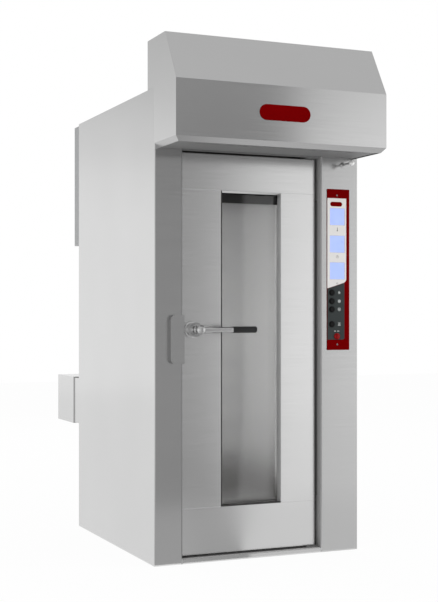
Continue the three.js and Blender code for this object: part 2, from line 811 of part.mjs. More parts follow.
function addDoorSkins() {
  const socket = bar('z', [pivotX, pivotY, 0], pivotRadius + pivotClearance,
    leaf.low - through, leaf.high + through, 20);
  const spindleHole = bar('y', [handleX, 0, handleHeight], spindleRadius + pivotClearance,
    leaf.front - through, leaf.joint, 16);
  const stileLow = pane.low + fitGap;
  const stileHigh = pane.high - fitGap;
  const top = skinTray(leaf.left, leaf.right, pane.high, leaf.high);
  const foot = skinTray(leaf.left, leaf.right, leaf.low, pane.low);
  const handleSide = skinTray(leaf.left, pane.left, stileLow, stileHigh);
  const pivotSide = skinTray(pane.right, leaf.right, stileLow, stileHigh);
  addPiece('door_skin_top', keepReturn(top, socket, pane.high), 'steel');
  addPiece('door_skin_bottom', keepReturn(foot, socket, leaf.low), 'steel');
  addPiece('door_skin_left', handleSide.subtract(spindleHole), 'steel');
  addPiece('door_skin_right', pivotSide, 'steel');
}

/** Bores the pivot socket through the leaf's end return only, not through the inner one. */
function keepReturn(tray, socket, from) {
  const top = from === pane.high;
  const zone = top
    ? block(-half, half, 0, leaf.back, leaf.high - pivotReach, leaf.high + through)
    : block(-half, half, 0, leaf.back, leaf.low - through, leaf.low + pivotReach);
  return tray.subtract(socket.intersect(zone));
}

function addDoorCore() {
  const around = sheet + 2 * fitGap;
  const y0 = leaf.joint + fitGap;
  const y1 = leaf.back - sheet - fitGap;
  const paneWindow = rectangle(pane.left - glassOverlap - fitGap, pane.right + glassOverlap + fitGap,
    pane.low - glassOverlap - fitGap, pane.high + glassOverlap + fitGap);
  const ring = rectangle(leaf.left + around, leaf.right - around, leaf.low + around,
    leaf.high - around);
  ring.holes.push(paneWindow);
  const fills = [
    woolFill(leaf.left, leaf.right, pane.high, leaf.high),
    woolFill(leaf.left, leaf.right, leaf.low, pane.low),
    woolFill(leaf.left, pane.left, pane.low + fitGap, pane.high - fitGap),
    woolFill(pane.right, leaf.right, pane.low + fitGap, pane.high - fitGap),
  ];
  const glassRoom = prismY(paneWindow, y0 - fitGap / 2, y1);
  const sockets = [[leaf.low, leaf.low + pivotReach], [leaf.high - pivotReach, leaf.high]];
  const pinRooms = sockets.map(([z0, z1]) => bar('z', [pivotX, pivotY, 0],
    pivotRadius + 2 * pivotClearance, z0 - through, z1 + through, 16));
  const spindleRoom = bar('y', [handleX, 0, handleHeight], spindleRadius + 2 * pivotClearance,
    leaf.front, leaf.front + spindleReach + through, 16);
  const wool = union([prismY(ring, y0, y1), ...fills]);
  addPiece('door_insulation', cut(wool, [glassRoom, ...pinRooms, spindleRoom]), 'wool');

  const panelFront = leaf.joint + fitGap;
  const collarFront = panelFront + glassThickness + fitGap;
  const shell = block(leaf.left, leaf.right, panelFront, leaf.back, leaf.low, leaf.high);
  const pocket = block(leaf.left + sheet, leaf.right - sheet, panelFront - through,
    leaf.back - sheet, leaf.low + sheet, leaf.high - sheet);
  const collar = rectangle(pane.left - sheet, pane.right + sheet, pane.low - sheet,
    pane.high + sheet);
  const clear = prismY(rectangle(pane.left, pane.right, pane.low, pane.high),
    panelFront - through, leaf.back + through);
  const panel = shell.subtract(pocket).add(prismY(collar, collarFront, leaf.back));
  addPiece('door_inner_panel', panel.subtract(clear), 'liner');

  const outerPane = block(pane.left - glassOverlap, pane.right + glassOverlap,
    panelFront, panelFront + glassThickness, pane.low - glassOverlap, pane.high + glassOverlap);
  addPiece('glass_outer', outerPane, 'glass');
  const innerPane = block(pane.left - innerGlassOverlap, pane.right + innerGlassOverlap,
    leaf.back + fitGap, leaf.back + fitGap + glassThickness,
    pane.low - innerGlassOverlap, pane.high + innerGlassOverlap);
  addPiece('glass_inner', innerPane, 'glass');

  const seal = rectangle(leaf.left + gasketInset, leaf.right - gasketInset,
    leaf.low + gasketInset, leaf.high - gasketInset, Array(4).fill(gasketCorner));
  const inside = gasketInset + gasketWidth;
  seal.holes.push(rectangle(leaf.left + inside, leaf.right - inside, leaf.low + inside,
    leaf.high - inside));
  addPiece('door_gasket', prismY(seal, leaf.back + fitGap, leaf.back + fitGap + gasketDepth, 3),
    'rubber');
}

/** Pivot plates fixed to the opening, each with a pin that stands in the leaf. */
function addPivots() {
  const x0 = pivotX - pivotPlateLeft;
  const x1 = openingRight - fitGap;
  const y0 = pivotY - pivotPlateDepth / 2;
  const y1 = pivotY + pivotPlateDepth / 2;
  const head = openingTop - fitGap;
  const upperPlate = block(x0, x1, y0, y1, head - pivotPlate.upper, head);
  const upperPin = bar('z', [pivotX, pivotY, 0], pivotRadius, leaf.high - pivotReach,
    head - pivotPlate.upper / 2);
  addPiece('pivot_upper', upperPlate.add(upperPin), 'steel');
  const foot = floorTop + fitGap;
  const footRight = openingRight - trayWall - 2 * fitGap;
  const lowerPlate = block(x0, footRight, y0, y1, foot, foot + pivotPlate.lower);
  const lowerPin = bar('z', [pivotX, pivotY, 0], pivotRadius, foot + pivotPlate.lower / 2,
    leaf.low + pivotReach);
  addPiece('pivot_lower', lowerPlate.add(lowerPin), 'steel');
}

// ---------------------------------------------------------------- handle and latch

function addHandle() {
  const at = [handleX, 0, handleHeight];
  const roseBack = leaf.front - fitGap;
  const roseFront = roseBack - roseThickness;
  const bore = spindleRadius + fitGap;
  addPiece('handle_rose', turned('y', at, [
    [bore, roseFront], [roseRadius - roseBevel.width, roseFront],
    [roseRadius, roseFront + roseBevel.depth],
    [roseRadius, roseBack], [bore, roseBack], [bore, roseFront],
  ], 24), 'steel');

  const hubBack = roseFront - fitGap;
  const nose = leverY - knuckleNose;
  const hub = turned('y', at, [
    [0, nose], [noseRadius, nose], [noseRadius + noseBevel, nose + noseBevel],
    [knuckleRadius, leverY - knuckleLength / 2], [knuckleRadius, leverY + knuckleLength / 2],
    [neckRadius, leverY + neckSetback], [hubRadius, leverY + neckSetback + hubShoulder],
    [hubRadius, hubBack], [0, hubBack],
  ], 20);
  const spindle = bar('y', at, spindleRadius, hubBack - through, leaf.front + spindleReach, 12);
  const leverAt = [handleX, leverY, handleHeight];
  const gripEnd = gripStart + gripLength;
  const leverEnd = gripEnd - gripCap;
  const lever = bar('x', leverAt, leverRadius, 0, leverEnd, 16);
  addPiece('handle_lever', union([hub, spindle, lever]), 'chrome');

  const sleeve = leverRadius + fitGap;
  addPiece('handle_grip', turned('x', leverAt, [
    [sleeve, gripStart], [gripRadius, gripStart], [gripRadius, gripEnd - gripRound],
    [gripRadius - gripRound, gripEnd], [0, gripEnd], [0, leverEnd + fitGap],
    [sleeve, leverEnd + fitGap], [sleeve, gripStart],
  ], 16), 'rubber');

  const far = -tongueSetback;
  const near = far + tongueThickness;
  const ring = bar('y', at, hubRadius + tongueRing, far, near, 20);
  const root = tongueHeight / 2 + tongueRoot;
  const edge = tongueHeight / 2;
  const blunt = edge - tongueTip.drop;
  const tip = handleX - tongueReach;
  const tongue = prismY(outline([
    [handleX, handleHeight + root], [tip + tongueTip.length, handleHeight + edge],
    [tip, handleHeight + blunt], [tip, handleHeight - blunt],
    [tip + tongueTip.length, handleHeight - edge], [handleX, handleHeight - root],
  ]), far, near);
  const hubHole = bar('y', at, hubRadius + 2 * fitGap, far - through, near + through, 20);
  addPiece('latch_tongue', ring.add(tongue).subtract(hubHole), 'steel');
}

function addKeeper() {
  const r = keeperRadius;
  const face = rectangle(openingLeft - keeperWidth, openingLeft, keeperLow, keeperHigh,
    [r, 0, 0, r]);
  const plate = prismY(face, -keeperThickness - fitGap, -fitGap, 8);
  const mouth = block(openingLeft - keeperMouthDepth, openingLeft + through,
    -keeperThickness + keeperMouthWall, -keeperMouthWall,
    handleHeight - keeperMouthHeight / 2, handleHeight + keeperMouthHeight / 2);
  addPiece('keeper_plate', plate.subtract(mouth), 'steel');
}

// ---------------------------------------------------------------- rack hook and drive

function addRotor() {
  const at = [middleX, rotorY, 0];
  const bearingLow = chamberTop + linerSheet + fitGap;
  const bearingHigh = bearingLow + bearingHeight;
  const bore = shaftRadius + shaftClearance;
  addPiece('rotor_bearing', turned('z', at, [
    [bore, bearingLow], [bearingRadius, bearingLow], [bearingRadius, bearingLow + bearingFlange],
    [bearingRadius - bearingShoulder, bearingHigh], [bore, bearingHigh], [bore, bearingLow],
  ], 24), 'castIron');

  const shaftTop = cabinetHeight + fitGap + shaftEntry;
  const shaft = bar('z', at, shaftRadius, hookBarTop - hookBarThickness, shaftTop, 20);
  const collar = bar('z', at, collarRadius, bearingHigh + fitGap,
    bearingHigh + fitGap + collarHeight, 24);
  const hub = bar('z', at, hookHubRadius, hookBarTop - hookBarThickness - hookHubDrop,
    hookBarTop, 24);
  const reach = hookBarLength / 2;
  const crossbar = block(middleX - reach, middleX + reach, rotorY - hookBarWidth / 2,
    rotorY + hookBarWidth / 2, hookBarTop - hookBarThickness, hookBarTop);
  const hooks = [-1, 1].map((side) => hookClaw(middleX + side * (reach - hookInset), side));
  addPiece('rotor_hook', union([shaft, collar, hub, crossbar, ...hooks]), 'heatSteel');

  const seat = cabinetHeight + fitGap;
  const size = gearboxSize / 2;
  const footSize = size + gearboxFlange;
  const foot = block(middleX - footSize, middleX + footSize, rotorY - footSize,
    rotorY + footSize, seat, seat + gearboxFoot);
  const gearbox = prismX(rectangle(rotorY - size, rotorY + size, seat, seat + gearboxHeight,
    [0, 0, gearboxCorner, gearboxCorner]), middleX - size, middleX + size);
  const motorAt = [middleX, 0, seat + gearboxHeight / 2 + driveMotorRise];
  const motorFrom = rotorY + size - through;
  const motor = bar('y', motorAt, driveMotorRadius, motorFrom, motorFrom + driveMotorLength, 24);
  const shaftBore = bar('z', at, shaftRadius + shaftClearance, seat - through,
    shaftTop + fitGap, 20);
  addPiece('rotor_gearmotor', cut(union([foot, gearbox, motor]), [shaftBore]), 'motorPaint');
}

/** J-shaped claw under the crossbar, cut from flat plate; its mouth opens upwards. */
function hookClaw(x, side) {
  const top = hookBarTop - hookBarThickness / 2;
  const floor = hookBarTop - hookBarThickness - hookDrop;
  const width = hookArm + hookMouth + hookTip;
  const claw = [
    [0, top], [0, floor], [width - hookChamfer, floor], [width, floor + hookChamfer],
    [width, floor + hookTipRise], [width - hookTip, floor + hookTipRise],
    [width - hookTip, floor + hookArm], [hookArm, floor + hookArm], [hookArm, top],
  ];
  const placed = claw.map(([a, z]) => [x + side * a, z]);
  return prismY(outline(placed), rotorY - hookPlate / 2, rotorY + hookPlate / 2);
}

function addLamp() {
  const under = chamberTop - fitGap;
  const profile = new THREE.Shape();
  profile.moveTo(lampY - lampDepth / 2, under);
  profile.lineTo(lampY - lampDepth / 2, under - lampSkirt);
  profile.absellipse(lampY, under - lampSkirt, lampDepth / 2, lampHeight - lampSkirt, Math.PI,
    2 * Math.PI, false, 0);
  profile.lineTo(lampY + lampDepth / 2, under);
  addPiece('chamber_lamp', prismX(profile, middleX - lampWidth / 2, middleX + lampWidth / 2, 6),
    'lens');
}

// ---------------------------------------------------------------- air, heat and steam

/** Radial wheel: back plate, blades, front ring, hub and shaft, about an axis along +Y or +Z. */
function fanWheel(axis, place, wheel) {
  const back = bar(axis, place, wheel.radius, 0, fanPlate, 24);
  const ringLow = wheel.depth - fanPlate;
  const ringOuter = bar(axis, place, wheel.radius, ringLow, wheel.depth, 24);
  const ringInner = bar(axis, place, wheel.eye, ringLow - through, wheel.depth + through, 24);
  const hub = bar(axis, place, wheel.hub, 0, wheel.hubLength, 12);
  const axle = bar(axis, place, wheel.shaft, -wheel.shaftReach, fanPlate, 12);
  const pieces = [back, ringOuter.subtract(ringInner), hub, axle];
  const length = wheel.radius - bladeInset - wheel.eye;
  for (let i = 0; i < wheel.blades; i += 1) {
    const blade = new THREE.BoxGeometry(length, ringLow, bladeThickness);
    blade.translate(wheel.eye + length / 2, wheel.depth / 2, 0);
    blade.rotateY(2 * Math.PI * i / wheel.blades);
    pieces.push(solid(alongAxis(blade, axis).translate(...place)));
  }
  return union(pieces);
}

function addCirculation() {
  const backPlate = plenumBack - fanBackGap;
  const at = [middleX, 0, fanHeight];
  // The wheel is drawn with its open side towards +Y, then mirrored to face the chamber.
  const wheel = fanWheel('y', at, {
    radius: fanRadius, eye: fanEyeRadius, depth: fanDepth, blades: fanBlades, hub: fanHubRadius,
    hubLength: fanHubLength, shaft: fanShaftRadius,
    shaftReach: cabinetDepth + fanMotorShaft - backPlate,
  });
  addPiece('circulation_fan', wheel.mirror([0, 1, 0]).translate([0, backPlate, 0]), 'heatSteel');

  const seat = cabinetDepth + fitGap;
  const bore = fanShaftRadius + shaftClearance;
  const end = seat + fanMotorLength;
  const shaftEnd = cabinetDepth + fanMotorShaft + fitGap;
  const flange = fanMotorRadius + motorFlangeReach;
  addPiece('fan_motor', turned('y', at, [
    [bore, seat], [flange, seat], [flange, seat + motorFlange],
    [fanMotorRadius, seat + motorFlange], [fanMotorRadius, end - motorRound],
    [fanMotorRadius - motorRound, end], [0, end], [0, shaftEnd], [bore, shaftEnd], [bore, seat],
  ], 20), 'motorPaint');
}

function addExchanger() {
  const y = plenumMiddle;
  const size = headerWidth / 2;
  const left = burnerX - drumRadius;
  const tubeStart = burnerX + drumRadius + firstTubeGap;
  const lowRight = cascadeX - cascadeWidth / 2 - cascadeGap;
  const tubePitch = (lowRight - headerOverhang - tubeRadius - tubeStart) / (tubeCount - 1);
  const highRight = flueX + flueRadius + flueLanding;
  const pieces = [
    block(left, lowRight, y - size, y + size, exchangerLow - size, exchangerLow + size),
    block(left, highRight, y - size, y + size, exchangerHigh - size, exchangerHigh + size),
    bar('z', [burnerX, y, 0], drumRadius, exchangerLow, exchangerHigh, 24),
    bar('y', [burnerX, 0, burnerHeight], sleeveRadius, y, cabinetDepth + fitGap, 24),
  ];
  for (let i = 0; i < tubeCount; i += 1) {
    const x = tubeStart + i * tubePitch;
    pieces.push(bar('z', [x, y, 0], tubeRadius, exchangerLow, exchangerHigh, 12));
  }
  for (const x of [left, lowRight - exchangerFoot]) {
    pieces.push(block(x, x + exchangerFoot, y - size, y + size, floorTop + fitGap, exchangerLow));
  }
  const burnerRoom = bar('y', [burnerX, 0, burnerHeight], blastTubeRadius + burnerRoomGap,
    y + drumRadius - burnerRoomDepth, cabinetDepth + through, 24);
  addPiece('heat_exchanger', cut(union(pieces), [burnerRoom]), 'heatSteel');

  const flueLow = exchangerHigh + size + fitGap;
  const flueTop = cabinetHeight + flueReach;
  const bore = flueRadius - flueWall;
  const pipe = turned('z', [flueX, y, 0], [
    [bore, flueLow], [flueRadius, flueLow], [flueRadius, flueTop], [bore, flueTop],
    [bore, flueLow],
  ], 24);
  const flashing = flueRadius + flueRoofRoom + flashingLap;
  const flashingSeat = cabinetHeight + fitGap;
  const flashingPlate = block(flueX - flashing, flueX + flashing, y - flashing, y + flashing,
    flashingSeat, flashingSeat + flashingSheet);
  const pipeHole = bar('z', [flueX, y, 0], flueRadius - flueWall / 2, flashingSeat - through,
    flashingSeat + flashingSheet + through, 24);
  addPiece('flue_pipe', pipe.add(flashingPlate.subtract(pipeHole)), 'galvanised');

  addBurner(y + drumRadius);
  addCascade(y);
}

/** Forced-draught burner: blast tube, flange, neck, blower casing and round fan scroll. */
function addBurner(tubeFront) {
  const flange = cabinetDepth + 2 * fitGap;
  const at = [burnerX, 0, burnerHeight];
  const blast = bar('y', at, blastTubeRadius, tubeFront, flange + burnerFlange / 2, 20);
  const plate = bar('y', at, sleeveRadius + burnerFlangeReach, flange, flange + burnerFlange, 24);
  const blowerFront = flange + blowerGap;
  const neck = bar('y', at, blastTubeRadius + burnerNeckWall, flange, blowerFront + through, 20);
  const size = blowerSize / 2;
  const blower = prismY(rectangle(burnerX - size, burnerX + size, burnerHeight - size,
    burnerHeight + size, Array(4).fill(blowerCorner)), blowerFront, blowerFront + blowerDepth, 4);
  const scroll = bar('x', [0, flange + scrollSetback, burnerHeight], scrollRadius,
    burnerX - size, burnerX + size + scrollReach, 24);
  addPiece('burner', union([blast, plate, neck, blower, scroll]), 'redPlastic');
}

/** Stack of iron troughs between two uprights; water runs down it and turns to steam. */
function addCascade(y) {
  const x0 = cascadeX - cascadeWidth / 2;
  const x1 = cascadeX + cascadeWidth / 2;
  const low = floorTop + fitGap;
  const top = cascadeLow + (cascadeTroughs - 1) * cascadePitch + cascadeHeadroom;
  const front = y - cascadeDepth / 2;
  const back = y + cascadeDepth / 2;
  const pieces = [
    block(x0, x0 + cascadeUpright, front, back, low, top),
    block(x1 - cascadeUpright, x1, front, back, low, top),
  ];
  const rim = troughInset;
  const foot = troughInset + troughSlant;
  for (let i = 0; i < cascadeTroughs; i += 1) {
    const z = cascadeLow + i * cascadePitch;
    const brim = z + troughHeight;
    const floor = z + troughWall;
    const trough = outline([
      [front + rim, brim], [front + foot, z], [back - foot, z], [back - rim, brim],
      [back - rim - troughWall, brim], [back - foot - troughWall, floor],
      [front + foot + troughWall, floor], [front + rim + troughWall, brim],
    ]);
    pieces.push(prismX(trough, x0 + cascadeUpright / 2, x1 - cascadeUpright / 2));
  }
  addPiece('steam_cascade', union(pieces), 'castIron');
}

// ---------------------------------------------------------------- rear covers

function addRearCovers() {
  const seat = cabinetDepth + fitGap;
  const left = -half;
  const right = left + burnerCoverWidth;
  const neckBack = seat + coverNeckDepth;
  const back = cabinetDepth + burnerCoverDepth;
  const insetBy = coverNeckInset;
  const neck = block(left + insetBy, right - insetBy, seat, neckBack + through,
    burnerCoverLow + insetBy, burnerCoverHigh - insetBy);
  const main = block(left, right, neckBack, back, burnerCoverLow, burnerCoverHigh);
  const wall = insetBy + sheet;
  const hollow = block(left + wall, right - wall, seat - through, back - sheet,
    burnerCoverLow + wall, burnerCoverHigh - wall);
  const { count, pitch, inset: sideLand } = coverLouvres;
  const coverMiddle = (burnerCoverLow + burnerCoverHigh) / 2;
  const louvres = spread(count, pitch).map((offset) => block(left + sideLand, right - sideLand,
    back - through, back + through, coverMiddle + offset - louvreHeight / 2,
    coverMiddle + offset + louvreHeight / 2));
  addPiece('burner_cover', cut(neck.add(main), [hollow, ...louvres]), 'steel');

  const outer = block(-half, half, seat, cabinetDepth + casingDepth, casingLow, casingHigh);
  const inner = block(-half + sheet, half - sheet, seat - through,
    cabinetDepth + casingDepth - sheet, casingLow + sheet, casingHigh - sheet);
  const middle = (casingLow + casingHigh) / 2;
  const slots = [];
  for (const x of [-casingLouvres.centre, casingLouvres.centre]) {
    for (const offset of spread(casingLouvres.count, casingLouvres.pitch)) {
      slots.push(block(x - casingLouvres.length / 2, x + casingLouvres.length / 2,
        cabinetDepth + casingDepth - through, cabinetDepth + casingDepth + through,
        middle + offset - louvreHeight / 2, middle + offset + louvreHeight / 2));
    }
  }
  addPiece('rear_casing', cut(outer, [inner, ...slots]), 'darkPaint');
}

// ---------------------------------------------------------------- steam vent

function addVent() {
  const x0 = ventX - ventDuctWidth / 2;
  const x1 = ventX + ventDuctWidth / 2;
  const y1 = ventDuctFront + ventDuctDepth;
  const low = ventHeight + ventGateThickness / 2 + ventDuctSeat;
  const high = cabinetHeight + ventDuctReach;
  const duct = block(x0, x1, ventDuctFront, y1, low, high);
  const bore = block(x0 + sheet, x1 - sheet, ventDuctFront + sheet, y1 - sheet,
    low - through, high + through);
  addPiece('vent_duct', duct.subtract(bore), 'galvanised');

  const at = [ventX, 0, ventHeight];
  const rod = bar('y', at, ventRodRadius, -ventReach, ventDuctFront - ventRodEnd, 12);
  const gate = block(x0 + ventGateGap, x1 - ventGateGap, ventDuctFront - ventGateLap,
    y1 - ventGateGap, ventHeight - ventGateThickness / 2, ventHeight + ventGateThickness / 2);
  addPiece('vent_rod', rod.add(gate), 'steel');

  const ball = new THREE.SphereGeometry(ventKnobRadius, 16, 10);
  const knob = solid(ball.translate(ventX, -ventReach, ventHeight));
  const socket = bar('y', at, ventRodRadius + fitGap, -ventReach - fitGap,
    -ventReach + ventKnobRadius + through, 12);
  addPiece('vent_knob', knob.subtract(socket), 'chrome');
}

// ---------------------------------------------------------------- hood

function hoodProfile() {
  return [
    [hoodBack, hoodHeight], [-hoodTopReach, hoodHeight], [-hoodReach, hoodBrow],
    [-hoodReach, hoodFrontLow], [-hoodReach + hoodLipInset, hoodLow], [-fitGap, hoodLow],
    [-fitGap, cabinetHeight + fitGap], [hoodBack, cabinetHeight + fitGap],
  ];
}

/** The hood seen from the front: upright sides whose lowest stretch slopes inwards. */
function hoodFace(wall) {
  const lip = half - hoodLipInset;
  return inset([
    [-half, hoodHeight + through], [-half, hoodFrontLow], [-lip, hoodLow], [lip, hoodLow],
    [half, hoodFrontLow], [half, hoodHeight + through],
  ], [wall, wall, -wall * through, wall, wall, 0]);
}

function addHood() {
  const y0 = -hoodReach - through;
  const y1 = hoodBack + through;
  const outer = prismX(outline(hoodProfile()), -half, half)
    .intersect(prismY(outline(hoodFace(0)), y0, y1));
  // Edges in order: top, slope, front, lip, underside, back below the roof, roof side, back.
  const room = inset(hoodProfile(), [sheet, sheet, sheet, sheet, -through, -through, -through,
    sheet]);
  const inner = prismX(outline(room), -half, half)
    .intersect(prismY(outline(hoodFace(sheet)), y0, y1));
  const spigotAt = [0, 0, spigotHeight];
  const bore = spigotRadius - sheet;
  const exhaust = bar('y', spigotAt, bore, hoodBack - 2 * through, hoodBack + through, 20);
  addPiece('hood_shell', cut(outer, [inner, exhaust]), 'steel');
  const seat = hoodBack + fitGap;
  const flange = spigotRadius + spigotFlange;
  addPiece('hood_spigot', turned('y', spigotAt, [
    [bore, seat], [flange, seat], [flange, seat + sheet], [spigotRadius, seat + sheet],
    [spigotRadius, hoodBack + spigotReach], [bore, hoodBack + spigotReach], [bore, seat],
  ], 24), 'galvanised');
  addHoodTray();
  addHoodFan();

  const end = badgeHeight / 2;
  const badge = rectangle(-badgeLength / 2, badgeLength / 2, badgeZ - end, badgeZ + end,
    Array(4).fill(end));
  addPiece('badge_plate', prismY(badge, -hoodReach - fitGap - badgeThickness,
    -hoodReach - fitGap, 6), 'redEnamel');
}

/** Slotted tray that closes the hood from beneath, lying inside its sloping lower lip. */
function addHoodTray() {
  const low = hoodLow + trayRise;
  const slope = (hoodFrontLow - hoodLow) / hoodLipInset;
  const edge = half - hoodLipInset + trayRise / slope - 2 * sheet;
  const front = -hoodReach + hoodLipInset - trayRise / slope + 2 * sheet;
  const plate = block(-edge, edge, front, -2 * fitGap, low, low + trayPlate);
  const slotFront = front + traySlotSetback;
  const slots = spread(traySlots, traySlotPitch).map((x) => block(x - traySlotLength / 2,
    x + traySlotLength / 2, slotFront, slotFront + traySlotWidth, low - through,
    low + trayPlate + through));
  addPiece('hood_tray', cut(plate, slots), 'galvanised');
}

/** Steam fan under the hood's top: a motor with its flange up and a wheel below it. */
function addHoodFan() {
  const ceiling = hoodHeight - sheet - fitGap;
  const motorLow = ceiling - hoodMotorHeight;
  const at = [0, hoodFanY, 0];
  const shaftTop = motorLow + hoodShaftEntry;
  const bore = hoodShaftRadius + shaftClearance;
  const flange = hoodMotorRadius + hoodMotorFlange;
  addPiece('hood_motor', turned('z', at, [
    [bore, motorLow], [hoodMotorRadius, motorLow], [hoodMotorRadius, ceiling - motorFlange],
    [flange, ceiling - motorFlange], [flange, ceiling], [0, ceiling],
    [0, shaftTop + fitGap], [bore, shaftTop + fitGap], [bore, motorLow],
  ], 20), 'motorPaint');
  const wheelTop = motorLow - hoodFanGap;
  const wheel = fanWheel('z', at, {
    radius: hoodFanRadius, eye: hoodFanRadius - hoodFanRim, depth: hoodFanDepth,
    blades: hoodFanBlades, hub: hoodFanHubRadius, hubLength: hoodFanHubLength,
    shaft: hoodShaftRadius, shaftReach: shaftTop - wheelTop,
  });
  addPiece('hood_fan', wheel.mirror([0, 0, 1]).translate([0, 0, wheelTop]), 'galvanised');
}

// ---------------------------------------------------------------- controls

function addControls() {
  const back = -fitGap;
  const front = back - panelThickness;
  const hole = (x, z) => bar('y', [x, 0, z], stemRadius + stemClearance, front - through,
    back + through, 12);
  const pockets = displayCentres.map((z) => block(displayLeft, displayLeft + displayWidth,
    front - through, front + displayPocket, z - displayHeight / 2, z + displayHeight / 2));
  const face = prismY(rectangle(panelLeft, panelRight, panelLow, panelHigh,
    Array(4).fill(panelCorner)), front, back, 3);
  const holes = [...keyHeights.map((z) => hole(keyX, z)), hole(switchX, switchHeight)];
  addPiece('control_panel', cut(face, [...pockets, ...holes]), 'redEnamel');

  displayCentres.forEach((z, i) => {
    const lens = block(displayLeft + fitGap, displayLeft + displayWidth - fitGap,
      front + fitGap, front + displayPocket - fitGap,
      z - displayHeight / 2 + fitGap, z + displayHeight / 2 - fitGap);
    addPiece(`display_${i + 1}`, lens, 'display');
  });

  keyHeights.forEach((z, i) => {
    const capBack = front - fitGap - keyTravel;
    const capFront = capBack - keyThickness;
    const cap = turned('y', [keyX, 0, z], [
      [0, capFront], [keyRadius - keyRound, capFront], [keyRadius, capFront + keyRound],
      [keyRadius, capBack], [0, capBack],
    ], 16);
    const stem = bar('y', [keyX, 0, z], stemRadius, capFront + keyRound, stemReach, 8);
    addPiece(`key_${i + 1}`, cap.add(stem), 'blackPlastic');
  });

  const seat = front - fitGap;
  const skirt = seat - switchSkirt;
  const dial = turned('y', [switchX, 0, switchHeight], [
    [0, skirt], [switchRadius - switchRound, skirt], [switchRadius, skirt + switchRound],
    [switchRadius, seat], [0, seat],
  ], 16);
  const wing = prismY(rectangle(switchX - wingWidth / 2, switchX + wingWidth / 2,
    switchHeight - switchRadius, switchHeight + switchRadius, Array(4).fill(switchRound)),
  seat - switchDepth, skirt + switchRound, 3);
  const stem = bar('y', [switchX, 0, switchHeight], stemRadius, skirt + switchRound, stemReach, 8);
  addPiece('main_switch', union([dial, wing, stem]), 'redPlastic');

  const boxLeft = openingRight + bendRadius;
  const boxRight = half - bendRadius;
  const boxFront = sheet + fitGap;
  const low = panelLow - boxMargin;
  const high = panelHigh + boxMargin;
  const shell = block(boxLeft, boxRight, boxFront, boxFront + boxDepth, low, high);
  const room = block(boxLeft + boxWall, boxRight - boxWall, boxFront - through,
    boxFront + boxDepth - boxWall, low + boxWall, high - boxWall);
  addPiece('control_box', shell.subtract(room), 'galvanised');
}

// ---------------------------------------------------------------- the whole oven

addBase();
addPanels();
addChamber();
addInsulation();
addRotor();
addLamp();
addCirculation();
addExchanger();
addRearCovers();
addVent();
addHood();
addControls();
addDoorSkins();
addDoorCore();
addPivots();
addHandle();
addKeeper();

// The row's origin is under the middle of the whole oven, badge and burner cover included.
const frontReach = hoodReach + fitGap + badgeThickness;
const backReach = cabinetDepth + burnerCoverDepth;
oven.position.y = (frontReach - backReach) / 2;

export default oven;
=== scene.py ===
"""Studio scene of a rotating rack oven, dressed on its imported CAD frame.

Every object is in metres in the frame of the CAD model: the front looks towards -Y, the floor is
z = 0. Sizes of the oven are written in millimetres, which MM turns to metres, and the studio's
places are written in metres.
"""

from __future__ import annotations

import functools
import logging
import math
from dataclasses import dataclass, field
from enum import Enum
from typing import Any, NamedTuple, Sequence

import bmesh
import bpy
from mathutils import Matrix, Vector


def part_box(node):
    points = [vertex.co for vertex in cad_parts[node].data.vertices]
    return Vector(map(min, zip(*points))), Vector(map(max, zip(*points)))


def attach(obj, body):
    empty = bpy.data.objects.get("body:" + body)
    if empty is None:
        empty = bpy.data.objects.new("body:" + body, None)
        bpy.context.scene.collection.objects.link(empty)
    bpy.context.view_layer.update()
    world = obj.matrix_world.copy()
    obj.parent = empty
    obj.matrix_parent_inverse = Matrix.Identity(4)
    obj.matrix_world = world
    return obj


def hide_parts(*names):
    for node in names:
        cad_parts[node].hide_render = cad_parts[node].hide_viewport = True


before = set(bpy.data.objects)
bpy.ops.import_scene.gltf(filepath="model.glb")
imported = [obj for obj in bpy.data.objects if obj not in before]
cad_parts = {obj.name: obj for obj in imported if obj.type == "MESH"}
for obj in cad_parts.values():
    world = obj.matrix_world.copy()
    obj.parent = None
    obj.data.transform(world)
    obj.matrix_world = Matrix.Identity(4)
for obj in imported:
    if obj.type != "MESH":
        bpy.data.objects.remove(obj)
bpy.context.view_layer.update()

LOG = logging.getLogger("rack_oven")
MM = 0.001
CLEAR = 0.2  # millimetres between an added piece and the solid beside it
WELD = 1e-6  # metres between vertices that are one
SHARP = math.radians(35)  # edges that turn more than this aren't shaded round

Point = tuple[float, float, float]
Pair = tuple[float, float]
Outline = Sequence[Pair]
Inputs = dict[str | int, Any]
Socket = bpy.types.NodeSocket

# Half section of a domed head with a dimple, as shares of its radius and its height.
SCREW_HEAD: Outline = (
    (0.0, 0.0), (1.0, 0.0), (1.0, 0.35), (0.75, 0.8), (0.35, 1.0), (0.28, 0.55), (0.0, 0.45)
)
SCREW_STEPS = 12


# --- small tools


def linear(code: str) -> tuple[float, ...]:
    """Turn an sRGB hex value, "#rrggbb", into a linear colour with a full alpha."""
    channels = [int(code[i : i + 2], 16) / 255 for i in (1, 3, 5)]
    return *(c / 12.92 if c <= 0.04045 else ((c + 0.055) / 1.055) ** 2.4 for c in channels), 1.0


def rounded(left: float, right: float, low: float, high: float, radius: float) -> Outline:
    """Rectangle with four round corners.

    Args:
        left: smallest first coordinate.
        right: largest first coordinate.
        low: smallest second coordinate.
        high: largest second coordinate.
        radius: radius of the corners.

    Returns:
        The outline's points, which run anticlockwise.
    """
    centres = (
        (right - radius, high - radius, 0), (left + radius, high - radius, 90),
        (left + radius, low + radius, 180), (right - radius, low + radius, 270),
    )
    return [
        (a + radius * math.cos(math.radians(turn)), b + radius * math.sin(math.radians(turn)))
        for a, b, start in centres for turn in range(start, start + 91, 15)
    ]


